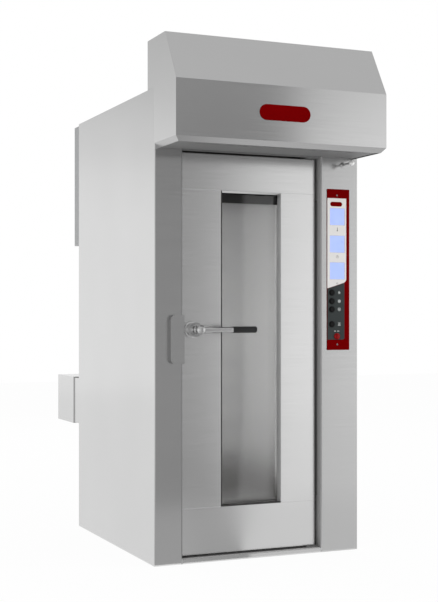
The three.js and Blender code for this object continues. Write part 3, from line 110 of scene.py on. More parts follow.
class Extent(NamedTuple):
    """A CAD node's box in millimetres."""

    low: Vector
    high: Vector

    @property
    def middle(self) -> Point:
        """Middle of the box."""
        x, y, z = ((a + b) / 2 for a, b in zip(self.low, self.high))
        return x, y, z

    @property
    def radius(self) -> float:
        """Radius of a round part that fills the box's height."""
        return (self.high.z - self.low.z) / 2


def extent(node: str) -> Extent:
    """Box of a CAD node in millimetres."""
    low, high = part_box(node)
    return Extent(low / MM, high / MM)


class Axis(Enum):
    """Direction that a turned or extruded shape runs along."""

    X = (1.0, 0.0, 0.0)
    Y = (0.0, 1.0, 0.0)
    Z = (0.0, 0.0, 1.0)

    def place(self, across: float, up: float, along: float) -> Vector:
        """Point from two coordinates across the axis and one along it."""
        order = {Axis.X: (along, across, up), Axis.Y: (across, along, up)}
        return Vector(order.get(self, (across, up, along)))


class Shape:
    """One piece in the making: a mesh in the frame's own place. Sizes come in millimetres."""

    def __init__(self) -> None:
        """Start with an empty mesh."""
        self.mesh = bmesh.new()

    def box(self, low: Point, high: Point, bevel: float = 0.0, segments: int = 2) -> Shape:
        """Add a block with bevelled edges.

        Args:
            low: lowest corner.
            high: highest corner.
            bevel: width of the bevel.
            segments: steps of the bevel.

        Returns:
            This shape.
        """
        size = [(b - a) * MM for a, b in zip(low, high)]
        middle = [(a + b) / 2 * MM for a, b in zip(low, high)]
        matrix = Matrix.Translation(middle) @ Matrix.Diagonal((*size, 1.0))
        made = bmesh.ops.create_cube(self.mesh, size=1.0, matrix=matrix)
        if bevel > 0:
            rim = {edge for vert in made["verts"] for edge in vert.link_edges}
            self._bevel(rim, bevel, segments)
        return self

    def turned(
        self, axis: Axis, centre: Point, profile: Outline, steps: int, closed: bool = False
    ) -> Shape:
        """Add a turned solid.

        Args:
            axis: axis that the profile is spun about.
            centre: point of the axis.
            profile: (radius, distance along the axis) points.
            steps: facets of the full turn.
            closed: whether the profile closes on itself instead of on the axis.

        Returns:
            This shape.
        """
        at = Vector(centre) * MM
        verts = [
            self.mesh.verts.new(at + axis.place(radius * MM, 0.0, along * MM))
            for radius, along in profile
        ]
        pairs = list(zip(verts, verts[1:]))
        if closed:
            pairs.append((verts[-1], verts[0]))
        edges = [self.mesh.edges.new(pair) for pair in pairs]
        bmesh.ops.spin(
            self.mesh, geom=verts + edges, cent=at, axis=axis.value, dvec=(0.0, 0.0, 0.0),
            angle=2 * math.pi, steps=steps, use_merge=True, use_duplicate=False,
        )
        return self

    def ring(self, axis: Axis, centre: Point, radii: Pair, span: Pair, steps: int) -> Shape:
        """Add a ring between two radii, over a span of its axis from the centre."""
        profile = [(radii[0], span[0]), (radii[1], span[0]), (radii[1], span[1]),
                   (radii[0], span[1])]
        return self.turned(axis, centre, profile, steps, closed=True)

    def rod(
        self, axis: Axis, centre: Point, radius: float, start: float, end: float,
        chamfer: float, steps: int,
    ) -> Shape:
        """Add a round bar with chamfered ends, from start to end of its axis from the centre."""
        profile = [
            (0.0, start), (radius - chamfer, start), (radius, start + chamfer),
            (radius, end - chamfer), (radius - chamfer, end), (0.0, end),
        ]
        return self.turned(axis, centre, profile, steps)

    def plate(
        self, axis: Axis, outline: Outline, start: float, end: float, bevel: float = 0.0
    ) -> Shape:
        """Add a flat plate of any outline.

        Args:
            axis: direction of the plate's thickness.
            outline: points across that axis.
            start: one face along the axis.
            end: the other face.
            bevel: width of the bevel round the other face.

        Returns:
            This shape.
        """
        verts = [self.mesh.verts.new(axis.place(a * MM, b * MM, start * MM)) for a, b in outline]
        face = self.mesh.faces.new(verts)
        grown = bmesh.ops.extrude_face_region(self.mesh, geom=[face])["geom"]
        moved = [item for item in grown if isinstance(item, bmesh.types.BMVert)]
        shift = Vector(axis.value) * (end - start) * MM
        bmesh.ops.translate(self.mesh, verts=moved, vec=shift)
        if bevel > 0:
            rim = {e for v in moved for e in v.link_edges if all(u in moved for u in e.verts)}
            self._bevel(rim, bevel, 2)
        return self

    def screw(self, place: Point, radius: float, height: float, side: int = 1) -> Shape:
        """Add a domed screw head that looks towards +Y (side 1) or -Y (side -1)."""
        profile = [(radius * out, side * height * up) for out, up in SCREW_HEAD]
        return self.turned(Axis.Y, place, profile, SCREW_STEPS)

    def _bevel(self, edges: set[bmesh.types.BMEdge], width: float, segments: int) -> None:
        """Bevel some edges by a width in millimetres."""
        bmesh.ops.bevel(
            self.mesh, geom=list(edges), offset=width * MM, segments=segments, profile=0.5,
            affect="EDGES", material=-1, clamp_overlap=True,
        )

    def ride(
        self, name: str, finish: Finish, body: str, slot: str = "", replaces: Sequence[str] = (),
        smooth: bool = True,
    ) -> None:
        """Make the shape an object that moves with a body.

        Args:
            name: the piece's name.
            finish: what it is made of.
            body: the body that carries it.
            slot: the record's material slot, if it has one; not used.
            replaces: CAD nodes that it stands for.
            smooth: whether its shallow edges are shaded round.
        """
        bmesh.ops.remove_doubles(self.mesh, verts=self.mesh.verts[:], dist=WELD)
        bmesh.ops.recalc_face_normals(self.mesh, faces=self.mesh.faces[:])
        data = bpy.data.meshes.new(name)
        self.mesh.to_mesh(data)
        self.mesh.free()
        data.materials.append(material_of(finish))
        if smooth:
            data.shade_smooth()
            data.set_sharp_from_angle(angle=SHARP)
        piece = bpy.data.objects.new(name, data)
        bpy.context.scene.collection.objects.link(piece)
        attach(piece, body)
        if replaces:
            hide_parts(*replaces)
        LOG.info("made %s on %s", name, body)


# --- finishes


class Grain(NamedTuple):
    """Noise whose cells have a real size, in millimetres."""

    wide: float
    high: float
    detail: float = 3.0


class Nodes:
    """A node tree in the making, of a material or of the world."""

    def __init__(self, owner: bpy.types.Material | bpy.types.World) -> None:
        """Take over the owner's tree, emptied."""
        owner.use_nodes = True
        self.tree = owner.node_tree
        self.tree.nodes.clear()

    def add(self, kind: str, inputs: Inputs, out: str | int = 0, **settings: Any) -> Socket:
        """Add one node.

        Args:
            kind: the node's type name, after "ShaderNode".
            inputs: its inputs, by name or number: a socket is linked, the rest is a constant.
            out: the output that is wanted.
            **settings: attributes of the node itself.

        Returns:
            That output.
        """
        node = self.tree.nodes.new(f"ShaderNode{kind}")
        for key, value in settings.items():
            setattr(node, key, value)
        for key, value in inputs.items():
            if isinstance(value, Socket):
                self.tree.links.new(value, node.inputs[key])
            else:
                node.inputs[key].default_value = value
        return node.outputs[out]

    def close(self, kind: str, surface: Socket) -> None:
        """Link a surface to the output of a "Material" or a "World"."""
        output = self.tree.nodes.new(f"ShaderNodeOutput{kind}")
        self.tree.links.new(surface, output.inputs["Surface"])

    def place(self, kind: str = "Object") -> Socket:
        """One of the texture coordinates."""
        return self.add("TexCoord", {}, kind)

    def along(self, axis: str) -> Socket:
        """Object coordinate along an axis, in metres."""
        return self.add("SeparateXYZ", {0: self.place()}, axis)

    def calc(self, operation: str, *inputs: Socket | float) -> Socket:
        """Result of an operation on sockets and numbers."""
        return self.add("Math", dict(enumerate(inputs)), operation=operation)

    def noise(self, grain: Grain) -> Socket:
        """Noise on Object coordinates, with cells of a real size."""
        scale = [1 / (size * MM) for size in (grain.wide, grain.wide, grain.high)]
        scaled = self.add("Mapping", {0: self.place(), "Scale": scale})
        return self.add("TexNoise", {0: scaled, "Scale": 1.0, "Detail": grain.detail})

    def between(
        self, source: Socket, low: float, high: float, start: float = 0.0, end: float = 1.0
    ) -> Socket:
        """Go from low to high while the source goes from start to end, clamped."""
        inputs = {0: source, "From Min": start, "From Max": end, "To Min": low, "To Max": high}
        return self.add("MapRange", inputs, interpolation_type="SMOOTHSTEP")

    def blend(self, factor: Socket, first: str | Socket, second: str) -> Socket:
        """Mix a colour, as hex value or socket, with a hex value."""
        start = linear(first) if isinstance(first, str) else first
        inputs = {"Factor": factor, "A": start, "B": linear(second)}
        return self.add("Mix", inputs, "Result", data_type="RGBA")

    def relief(self, height: Socket, depth: float, under: Socket | None = None) -> Socket:
        """Normal of a relief some millimetres deep, which may lie on another one."""
        base = {"Normal": under} if under else {}
        return self.add("Bump", {"Distance": depth * MM, "Height": height, **base})


class Finish:
    """A real material: its name, and what feeds its Principled shader."""

    label: str

    def inputs(self, nodes: Nodes) -> Inputs:
        """Inputs of the shader by name: constants, and sockets of the nodes that feed it."""
        raise NotImplementedError


@functools.cache
def material_of(finish: Finish) -> bpy.types.Material:
    """Make a finish's material once, and hand out the same one after that.

    Args:
        finish: the finish.

    Returns:
        Its Blender material.
    """
    material = bpy.data.materials.new(finish.label)
    nodes = Nodes(material)
    nodes.close("Material", nodes.add("BsdfPrincipled", finish.inputs(nodes)))
    return material


@dataclass(frozen=True)
class Grained(Finish):
    """A material whose colour, gloss and relief follow noise of a real size.

    Its colour runs from low to high over the tint, sharpened to a span of it. Its roughness goes
    from below to above the middle value over the skin, which is the tint unless it is given.
    """

    label: str
    low: str
    high: str
    rough: float
    spread: Pair = (0.05, 0.05)
    tint: Grain = Grain(35.0, 35.0)
    span: Pair | None = None
    skin: Grain | None = None
    depth: float = 0.0
    metal: float = 0.0
    coat: float = 0.0
    coat_rough: float = 0.0
    shine: float = 0.5
    sheen: float = 0.0
    clear: float = 0.0
    glow: float = 0.0
    glow_tone: str = ""

    def inputs(self, nodes: Nodes) -> Inputs:
        """Inputs of the shader, by the fields above.

        Args:
            nodes: the material's node tree.

        Returns:
            The inputs by name.
        """
        tint = nodes.noise(self.tint)
        skin = nodes.noise(self.skin) if self.skin else tint
        share = nodes.between(tint, 0.0, 1.0, *self.span) if self.span else tint
        color = nodes.blend(share, self.low, self.high)
        below, above = self.spread
        found = {
            "Base Color": color,
            "Roughness": nodes.between(skin, self.rough - below, self.rough + above),
            "Metallic": self.metal,
            "Coat Weight": self.coat,
            "Coat Roughness": self.coat_rough,
            "Specular IOR Level": self.shine,
            "Sheen Weight": self.sheen,
            "Transmission Weight": self.clear,
        }
        if self.glow:
            found["Emission Color"] = linear(self.glow_tone) if self.glow_tone else color
            found["Emission Strength"] = self.glow
        if self.depth:
            found["Normal"] = nodes.relief(skin, self.depth)
        return found


@dataclass(frozen=True)
class SatinSteel(Finish):
    """Cold-rolled stainless sheet, brushed along X: soft, slightly streaked reflections."""

    label: str = "brushed stainless steel sheet"
    low: str = "#d4d4d4"
    high: str = "#dbdbdb"
    rough: float = 0.16
    spread: float = 0.03
    tilt: float = 0.0
    # The next five fields paint a tone on faces that look one way: painted shade, and painted light
    # where the tone is lighter than the sheet; the roughness there changes too.
    painted_side_way: Point = (0.0, 0.0, 0.0)
    painted_side_tone: str = "#5d5d5d"
    side_rough: float = 0.5
    side_start: float = 0.1
    side_full: float = 0.45
    brush: Grain = Grain(300.0, 2.0)
    clouds: Grain = Grain(420.0, 620.0, 2.0)
    brush_depth: float = 0.002

    def inputs(self, nodes: Nodes) -> Inputs:
        """Streaks of the brush, painted light and shade on faces that look one way, and a sheet
        that isn't quite true.

        Args:
            nodes: the material's node tree.

        Returns:
            The inputs by name.
        """
        # The lines of a brush are too fine to show; clumps of them, 2 mm apart, do.
        streaks = nodes.noise(self.brush)
        color = nodes.blend(nodes.noise(self.clouds), self.low, self.high)
        gloss = nodes.between(streaks, self.rough - self.spread, self.rough + self.spread, 0.3, 0.7)
        # Painted light and shade: faces that look the given way take a set tone and roughness,
        # whatever the lamps do.
        if any(self.painted_side_way):
            side = nodes.add("VectorMath", {0: nodes.place("Normal"), 1: self.painted_side_way}, "Value",
                             operation="DOT_PRODUCT")
            dull = nodes.between(side, 0.0, 1.0, self.side_start, self.side_full)
            color = nodes.blend(dull, color, self.painted_side_tone)
            gloss = nodes.add("Mix", {"Factor": dull, "A": gloss, "B": self.side_rough}, "Result")
        lean = None
        if self.tilt:
            lean = nodes.relief(nodes.along("X"), math.tan(math.radians(self.tilt)) / MM)
        normal = nodes.relief(streaks, self.brush_depth, lean)
        return {"Base Color": color, "Roughness": gloss, "Metallic": 1.0, "Normal": normal}


@dataclass(frozen=True)
class LinerSteel(Finish):
    """Mill-finish stainless of the chamber: dull, with painted shade at the top and the foot."""

    label: str = "mill-finish stainless steel liner"
    # Colours of the painted shade at the foot and at the top of the walls.
    foot: str = "#6c6a68"
    head: str = "#4c4a49"
    rough: float = 0.42
    head_line: float = 1838.0
    head_fade: float = 100.0
    foot_start: Pair = (120.0, 230.0)
    foot_end: Pair = (240.0, 480.0)

    def inputs(self, nodes: Nodes) -> Inputs:
        """Painted shade by height, over faint rolling clouds.

        Args:
            nodes: the material's node tree.

        Returns:
            The inputs by name.
        """
        up, line, fade = nodes.along("Z"), self.head_line * MM, self.head_fade * MM
        start, end = ([height * MM for height in span] for span in (self.foot_start, self.foot_end))
        clouds = nodes.noise(Grain(160.0, 260.0))
        plain = nodes.blend(clouds, "#c2c2c1", "#b9b9b9")
        # Painted shade by height: a dark band low on the walls, and a darker head above head_line.
        foot = nodes.calc("MULTIPLY", nodes.between(up, 1.0, 0.0, *end),
                          nodes.between(up, 0.25, 1.0, *start))
        top = nodes.between(up, 0.0, 1.0, line - fade, line + fade)
        return {
            "Base Color": nodes.blend(top, nodes.blend(foot, plain, self.foot), self.head),
            "Roughness": nodes.between(clouds, self.rough - 0.05, self.rough + 0.06),
            "Metallic": 0.6,
            "Normal": nodes.relief(clouds, 0.2),
        }


@dataclass(frozen=True)
class GalvanisedSteel(Finish):
    """Hot-dip galvanised sheet: grey zinc crystals a few centimetres across."""

    label: str = "galvanised steel sheet"
    crystal: float = 22.0

    def inputs(self, nodes: Nodes) -> Inputs:
        """Crystals as cells with their own tone and gloss.

        Args:
            nodes: the material's node tree.

        Returns:
            The inputs by name.
        """
        size = {"Vector": nodes.place(), "Scale": 1 / (self.crystal * MM)}
        cells = nodes.add("TexVoronoi", size, "Color").node.outputs
        red = nodes.add("SeparateColor", {0: cells["Color"]})
        return {
            "Base Color": nodes.blend(red, "#8f9598", "#aab0b3"),
            "Roughness": nodes.between(red.node.outputs[1], 0.38, 0.58),
            "Metallic": 0.9,
            "Normal": nodes.relief(cells["Distance"], 0.05),
        }


@dataclass(frozen=True)
class PolishedSteel(Grained):
    """Turned and polished stainless: sharp reflections, changed a little by handling."""

    spread: Pair = (0.03, 0.06)
    tint: Grain = Grain(14.0, 14.0, 4.0)
    depth: float = 0.01
    metal: float = 1.0


@dataclass(frozen=True)
class PowderCoat(Grained):
    """Baked powder paint: slightly uneven colour with a fine orange-peel skin."""

    rough: float = 0.5
    spread: Pair = (0.06, 0.06)
    tint: Grain = Grain(240.0, 240.0)
    skin: Grain = Grain(2.5, 2.5, 2.0)
    depth: float = 0.06
    coat: float = 0.15
    coat_rough: float = 0.03


@dataclass(frozen=True)
class Enamel(Grained):
    """Printed, lacquered or enamelled face: even colour, faintly clouded."""

    spread: Pair = (0.04, 0.05)
    coat_rough: float = 0.12


@dataclass(frozen=True)
class MouldedPlastic(Grained):
    """Injection-moulded plastic with a fine spark-eroded texture."""

    spread: Pair = (0.05, 0.08)
    tint: Grain = Grain(0.9, 0.9)
    depth: float = 0.05


@dataclass(frozen=True)
class Silicone(Grained):
    """Extruded silicone rubber: matt and rippled, with a bloom of dust in patches."""

    rough: float = 0.7
    spread: Pair = (0.1, 0.1)
    tint: Grain = Grain(18.0, 60.0, 4.0)
    depth: float = 0.15


@dataclass(frozen=True)
class ToughenedGlass(Grained):
    """Toughened float glass: clear, barely grey, with faint roller waves."""

    low: str = "#f7f7f7"
    high: str = "#f4f4f4"
    rough: float = 0.0
    spread: Pair = (0.0, 0.01)
    tint: Grain = Grain(300.0, 300.0, 1.0)
    depth: float = 0.01
    clear: float = 1.0


@dataclass(frozen=True)
class MineralWool(Grained):
    """Rock wool slab: yellow-brown fibres in all directions, in tufts."""

    tufts: Grain = Grain(40.0, 25.0, 4.0)

    def inputs(self, nodes: Nodes) -> Inputs:
        """Fibres in colour and relief, over the coarser relief of the tufts.

        Args:
            nodes: the material's node tree.

        Returns:
            The inputs by name.
        """
        found = super().inputs(nodes)
        coarse = nodes.relief(nodes.noise(self.tufts), 4.0)
        nodes.tree.links.new(coarse, found["Normal"].node.inputs["Normal"])
        return found


class Looks:
    """The oven's finishes, by what they are used for."""

    cabinet = SatinSteel()
    # Faces that look +X, the pillar's bend by the door, are painted darker: painted shade over the
    # bend's highlight.
    left_sheet = SatinSteel(
        "brushed stainless steel left sheet", painted_side_way=(1.0, 0.0, 0.0), painted_side_tone="#8f8f8f",
        side_start=0.01, side_full=0.06,
    )
    # Faces that look -X, the pillar's return beside the door, get a lighter tone: painted light in
    # that shaded return.
    right_sheet = SatinSteel(
        "brushed stainless steel right sheet", "#c9c9c9", "#cfcfcf", 0.22, tilt=1.0,
        painted_side_way=(-1.0, 0.0, 0.0), painted_side_tone="#d1d1d1", side_rough=0.7,
    )
    rear = SatinSteel("mill-finish stainless steel sheet", "#b7b7b7", "#c7c7c7", 0.34, spread=0.07)
    # Faces that look -X, the plate's left edge, are painted darker: painted shade.
    keeper = SatinSteel(
        "brushed stainless steel with cut edges", painted_side_way=(-1.0, 0.0, 0.0), painted_side_tone="#9d9d9d"
    )
    door = SatinSteel("brushed stainless steel door sheet", "#e0e0e0", "#e6e6e6", 0.2, tilt=-0.55)
    # Faces that look down, the lip and the underside, are painted darker: painted shade under the
    # hood.
    hood = SatinSteel(
        "brushed stainless steel hood sheet", "#d8d8d8", "#dfdfdf", tilt=1.0,
        painted_side_way=(0.0, 0.0, -1.0), painted_side_tone="#c0c0c0", side_rough=0.25, side_start=0.2,
        side_full=0.6,
    )
    # Faces that look -X, the stile's return into the window, are painted dark: painted shade.
    stile = SatinSteel(
        "brushed stainless steel right stile", "#e0e0e0", "#e6e6e6", 0.2, tilt=-0.55,
        painted_side_way=(-1.0, 0.0, 0.0), painted_side_tone="#6d6d6d",
    )
    tray = SatinSteel("dull stainless steel tray", "#9e9e9e", "#a6a6a6", 0.8)
    liner = LinerSteel()
    chamber_floor = LinerSteel("mill-finish stainless steel of the chamber floor", foot="#c0bfbe")
    # The door's inner panel takes a lighter painted shade at its top.
    door_liner = LinerSteel("mill-finish stainless steel of the door", head="#8f8d8b")
    zinc = GalvanisedSteel()
    polished = PolishedSteel("polished stainless steel", "#dfdfdf", "#d3d3d3", 0.09)
    lever = PolishedSteel("bright turned steel", "#d7d7d7", "#cdcdcd", 0.22)
    satin = PolishedSteel("satin stainless steel", "#d3d3d3", "#cacaca", 0.34)
    hot = Grained(
        "heat-tinted steel", "#8d7f6c", "#5b5d66", 0.4, (0.0, 0.25), Grain(140.0, 220.0, 4.0),
        (0.35, 0.65), Grain(6.0, 6.0, 5.0), 0.1, metal=0.9,
    )
    iron = Grained(
        "cast iron", "#5c4636", "#45443f", 0.72, (0.0, 0.0), Grain(2.2, 2.2, 6.0), (0.3, 0.5),
        depth=0.4, metal=0.5,
    )
    casing = PowderCoat("grey powder-coated steel", "#9da0a2", "#a6a6a6")
    motor = PowderCoat("blue-grey machine paint", "#475d6e", "#50687a")
    burner = PowderCoat("red machine paint", "#8e1815", "#a21f1c")
    ball = Enamel("white enamelled ball knob", "#f7f7f6", "#fbfbfa", 0.3, coat=0.15, shine=0.35)
    red = Enamel("dark red enamel", "#660203", "#6f0204", 0.5, shine=0.0)
    white = Enamel("white polycarbonate foil", "#d8d6d4", "#dcdad8", 0.4, shine=0.2)
    slate = Enamel("dark grey polycarbonate foil", "#2e3333", "#343939", 0.4, shine=0.2)
    print = Enamel("pale screen print", "#bfc2c1", "#c9cccb", 0.45)
    ink = Enamel("grey screen print", "#655f60", "#6f6a6a", 0.45)
    reveal = Enamel("grey lacquered steel trim", "#adadad", "#b5b5b5", 0.5)
    frit = Enamel("black ceramic print", "#040404", "#060606", 0.6, shine=0.0)
    black = MouldedPlastic("moulded black plastic", "#09090a", "#0d0d0e", 0.5, shine=0.2)
    switch = MouldedPlastic("moulded red plastic", "#7d0a0c", "#8c0c0f", 0.35, shine=0.15)
    grip = MouldedPlastic("moulded phenolic grip", "#0b0b0c", "#101011", 0.45)
    seal = Silicone("silicone rubber", "#2b2b2d", "#3b3a39")
    joint = Silicone("grey joint sealant", "#bababa", "#b1b1b1")
    # Dark strip that stands for the shade in the door's side gap: painted shade.
    jamb_shade_strip = Silicone("dark silicone strip as painted shade in the jamb", "#4b4b4b", "#434343")
    glass = ToughenedGlass("toughened glass")
    hazed = ToughenedGlass("toughened glass with baked haze", rough=0.22, coat=1.0)
    lamp = Grained(
        "sandblasted lamp glass", "#f3efe2", "#e6e1d2", 0.3, (0.0, 0.2), Grain(1.5, 1.5, 4.0),
        depth=0.03, glow=0.6, glow_tone="#fff6e4",
    )
    display = Grained(
        "backlit polycarbonate display", "#9db2f4", "#a9bbf8", 0.25, (0.0, 0.1),
        Grain(45.0, 45.0, 1.0), glow=0.22,
    )
    wool = MineralWool(
        "mineral wool", "#8d7d4c", "#c7b67f", 0.95, (0.0, 0.0), Grain(9.0, 2.0, 8.0),
        (0.3, 0.7), depth=1.5, sheen=0.3,
    )


def dress(finish: Finish, *nodes: str) -> None:
    """Give CAD nodes a finish.

    Args:
        finish: what they are made of.
        *nodes: the nodes' names.
    """
    for name in nodes:
        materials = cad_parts[name].data.materials
        materials.clear()
        materials.append(material_of(finish))


# --- the cabinet


@dataclass
class Cabinet:
    """Outer sheets, base and roof, with the screws, strips and folds on them."""

    screw_radius: float = 6.0
    screw_height: float = 2.6
    screw_step: float = 240.0
    rear_margin: float = 24.0
    cover_margin: float = 12.0
    head_gap: float = 4.0
    head_back: float = 4.0
    head_sheet: float = 2.0
    sweep: float = 7.0
    jamb_end: float = 30.0
    jamb_proud: float = 2.0
    jamb_depth: float = 12.0
    joint_reach: float = 7.0
    joint_top: float = 27.0
    threshold_reach: float = 22.0
    threshold_lap: float = 2.0
    threshold_left: float = 10.0
    threshold_right: float = 3.0
    threshold_sheet: float = 2.0
    fold_shares: tuple[float, ...] = (0.14, 0.86)
    fold_half: float = 9.0
    fold_rise: float = 3.5
    fold_foot: float = 60.0
    fold_side: float = 20.0
    fold_gap: float = 40.0
    fold_head: float = 30.0

    def build(self) -> None:
        """Dress the sheets and add what is fixed to them."""
        dress(Looks.cabinet, "base_tray", "header_panel")
        dress(Looks.rear, "rear_panel", "roof_panel")
        dress(Looks.left_sheet, "side_panel_left")
        dress(Looks.right_sheet, "side_panel_right")
        dress(Looks.keeper, "keeper_plate")
        self._rear_screws()
        self._front_strips()
        self._sill_joints()
        self._threshold_seal()
        self._rear_folds()

    def _rear_screws(self) -> None:
        """Pan-head screws up the edges of the rear sheet, where no cover hides it."""
        low, high = extent("rear_panel")
        cover, casing = extent("burner_cover"), extent("rear_casing")
        under, over = cover.low.z - self.cover_margin, cover.high.z + self.cover_margin
        screws = Shape()
        for x in (low.x + self.rear_margin, high.x - self.rear_margin):
            z = low.z + self.rear_margin
            while z < casing.low.z - 2 * self.screw_radius:
                if not (x < cover.high.x and under < z < over):
                    screws.screw((x, high.y, z), self.screw_radius, self.screw_height)
                z += self.screw_step
        screws.ride("rear_screws", Looks.polished, "cabinet", "polished_steel")

    def _front_strips(self) -> None:
        """Drip strip that narrows the gap over the door, and silicone up the hinged side."""
        header, top, right = (
            extent(node) for node in ("header_panel", "door_skin_top", "door_skin_right")
        )
        back = header.low.y + self.head_back
        strip = Shape().box(
            (header.low.x + 1, back, top.high.z + self.head_gap),
            (header.high.x - 1, back + self.head_sheet, header.low.z - CLEAR), 0.4,
        )
        # It takes the darker tray steel rather than the cabinet's: painted shade under the hood.
        strip.ride("head_strip", Looks.tray, "cabinet", "hood_underside")
        # A dark silicone strip in the gap on the hinged side: painted shade for the gap and the
        # pillar's shaded side.
        strip = Shape().box(
            (right.high.x + self.sweep, right.low.y - self.jamb_proud,
             right.low.z + self.jamb_end),
            (header.high.x - CLEAR, right.low.y + self.jamb_depth, right.high.z - self.jamb_end),
            2.0,
        )
        strip.ride("jamb_strip", Looks.jamb_shade_strip, "cabinet", "gasket")

    def _sill_joints(self) -> None:
        """Sealed joints between the sill's ends and the pillars."""
        sill, header = extent("base_tray").low, extent("header_panel")
        joints = Shape()
        for x, side in ((header.low.x, -1), (header.high.x, 1)):
            x0, x1 = sorted((x + side * 0.5, x + side * self.joint_reach))
            joints.box((x0, sill.y + 0.3, sill.z + 0.5),
                       (x1, sill.y + self.joint_reach, sill.z + self.joint_top), 0.2)
        joints.ride("sill_joints", Looks.joint, "cabinet", "gasket")

    def _threshold_seal(self) -> None:
        """Flat rubber strip on the floor plate, under the door's front edge; its dark rubber also
        stands for the shade of the gap there: painted shade.
        """
        leaf, floor = extent("door_skin_bottom").low, extent("chamber_floor").high.z + CLEAR
        strip = Shape().box(
            (leaf.x - self.threshold_left, leaf.y - self.threshold_reach, floor),
            (extent("pivot_lower").low.x - self.threshold_right, leaf.y + self.threshold_lap,
             floor + self.threshold_sheet), 0.6,
        )
        strip.ride("threshold_seal", Looks.seal, "cabinet", "gasket")

    def _rear_folds(self) -> None:
        """Standing folds that stiffen the rear sheet."""
        (low, high), cover = extent("rear_panel"), extent("burner_cover")
        top = extent("rear_casing").low.z - self.fold_head
        folds = Shape()
        for share in self.fold_shares:
            x = low.x + share * (high.x - low.x)
            covered = cover.low.x - self.fold_side < x < cover.high.x + self.fold_side
            bottom = cover.high.z + self.fold_gap if covered else low.z + self.fold_foot
            folds.box((x - self.fold_half, high.y - 0.5, bottom),
                      (x + self.fold_half, high.y + self.fold_rise, top), 2.5, 3)
        folds.ride("rear_folds", Looks.rear, "cabinet", "stainless")


# --- the hood


@dataclass
class Hood:
    """Steam hood: sheet, underside tray, fan, spigot and the blank red badge."""

    badge_rim: float = 1.2

    def build(self) -> None:
        """Dress the hood, and put a blank enamelled pill in place of the badge's flat plate."""
        dress(Looks.hood, "hood_shell")
        dress(Looks.tray, "hood_tray")
        dress(Looks.zinc, "hood_spigot", "hood_fan")
        dress(Looks.motor, "hood_motor")
        low, high = badge = extent("badge_plate")
        outline = rounded(low.x, high.x, low.z, high.z, badge.radius - 0.01)
        pill = Shape().plate(Axis.Y, outline, high.y, low.y, self.badge_rim)
        pill.ride("badge_pill", Looks.red, "cabinet", "red_enamel", ["badge_plate"])


# --- the door


@dataclass
class Door:
    """Door leaf: four outer sheets, wool, inner panel, two panes and the seal."""

    seam_width: float = 1.2
    seam_proud: float = 0.15
    rubber: float = 7.0
    recess: float = 14.0
    bead: float = 9.0
    bead_lip: float = 1.5
    band_drop: float = 56.0

    def build(self) -> None:
        """Dress the leaf and add its seams and window trim."""
        dress(Looks.door, "door_skin_top", "door_skin_bottom", "door_skin_left")
        dress(Looks.stile, "door_skin_right")
        dress(Looks.door_liner, "door_inner_panel")
        dress(Looks.wool, "door_insulation")
        dress(Looks.glass, "glass_outer")
        dress(Looks.hazed, "glass_inner")
        dress(Looks.seal, "door_gasket")
        dress(Looks.tray, "pivot_upper", "pivot_lower")
        self._seams()
        self._trim()

    def _seams(self) -> None:
        """Fine joints between the stiles and the two rails."""
        left, right = extent("door_skin_left"), extent("door_skin_right")
        front, half = left.low.y, self.seam_width / 2
        seams = Shape()
        for z in (left.low.z, left.high.z):
            for low, high in (left, right):
                seams.box((low.x + 1, front - self.seam_proud, z - half),
                          (high.x - 1, front + self.seam_proud, z + half))
        seams.ride("door_seams", Looks.joint, "door", smooth=False)

    def _trim(self) -> None:
        """Rubber at two edges of the window, bead, side lining, and the pane's black print."""
        left, pane = extent("door_skin_left"), extent("glass_outer")
        x0, x1 = left.high.x, extent("door_skin_right").low.x
        z0, z1 = left.low.z, left.high.z
        front = left.low.y + 0.5
        back = front + self.recess
        # The dark rubber at the window's left and bottom edges also stands for the shade line
        # there: painted shade.
        trim = Shape()
        trim.box((x0 + CLEAR, front, z0), (x0 + self.rubber, back, z1), 1.2)
        trim.box((x0 + 1, front, z0 + CLEAR), (x1 - 1, back, z0 + self.rubber), 1.2)
        trim.ride("window_trim", Looks.seal, "door", "gasket")

        head, lip = z1 - CLEAR, z1 - self.bead_lip
        outline = [(front, head), (front, lip), (front + self.bead, lip - self.bead),
                   (back, lip - self.bead), (back, head)]
        bead = Shape().plate(Axis.X, outline, x0 + 1, x1 - 1)
        bead.ride("window_head_bead", Looks.door, "door", "stainless", smooth=False)
        lining = Shape().box((x1 - 1.6, front, z0 + 1), (x1 - CLEAR, pane.low.y - 0.5, z1 - 1), 0.3)
        lining.ride("window_side_lining", Looks.reveal, "door", "stainless")

        band = Shape().box((pane.low.x + 1, pane.high.y + 0.1, z1 - self.band_drop),
                           (pane.high.x - 1, pane.high.y + 0.4, pane.high.z - 1))
        band.ride("window_band", Looks.frit, "door", smooth=False)


# --- the handle


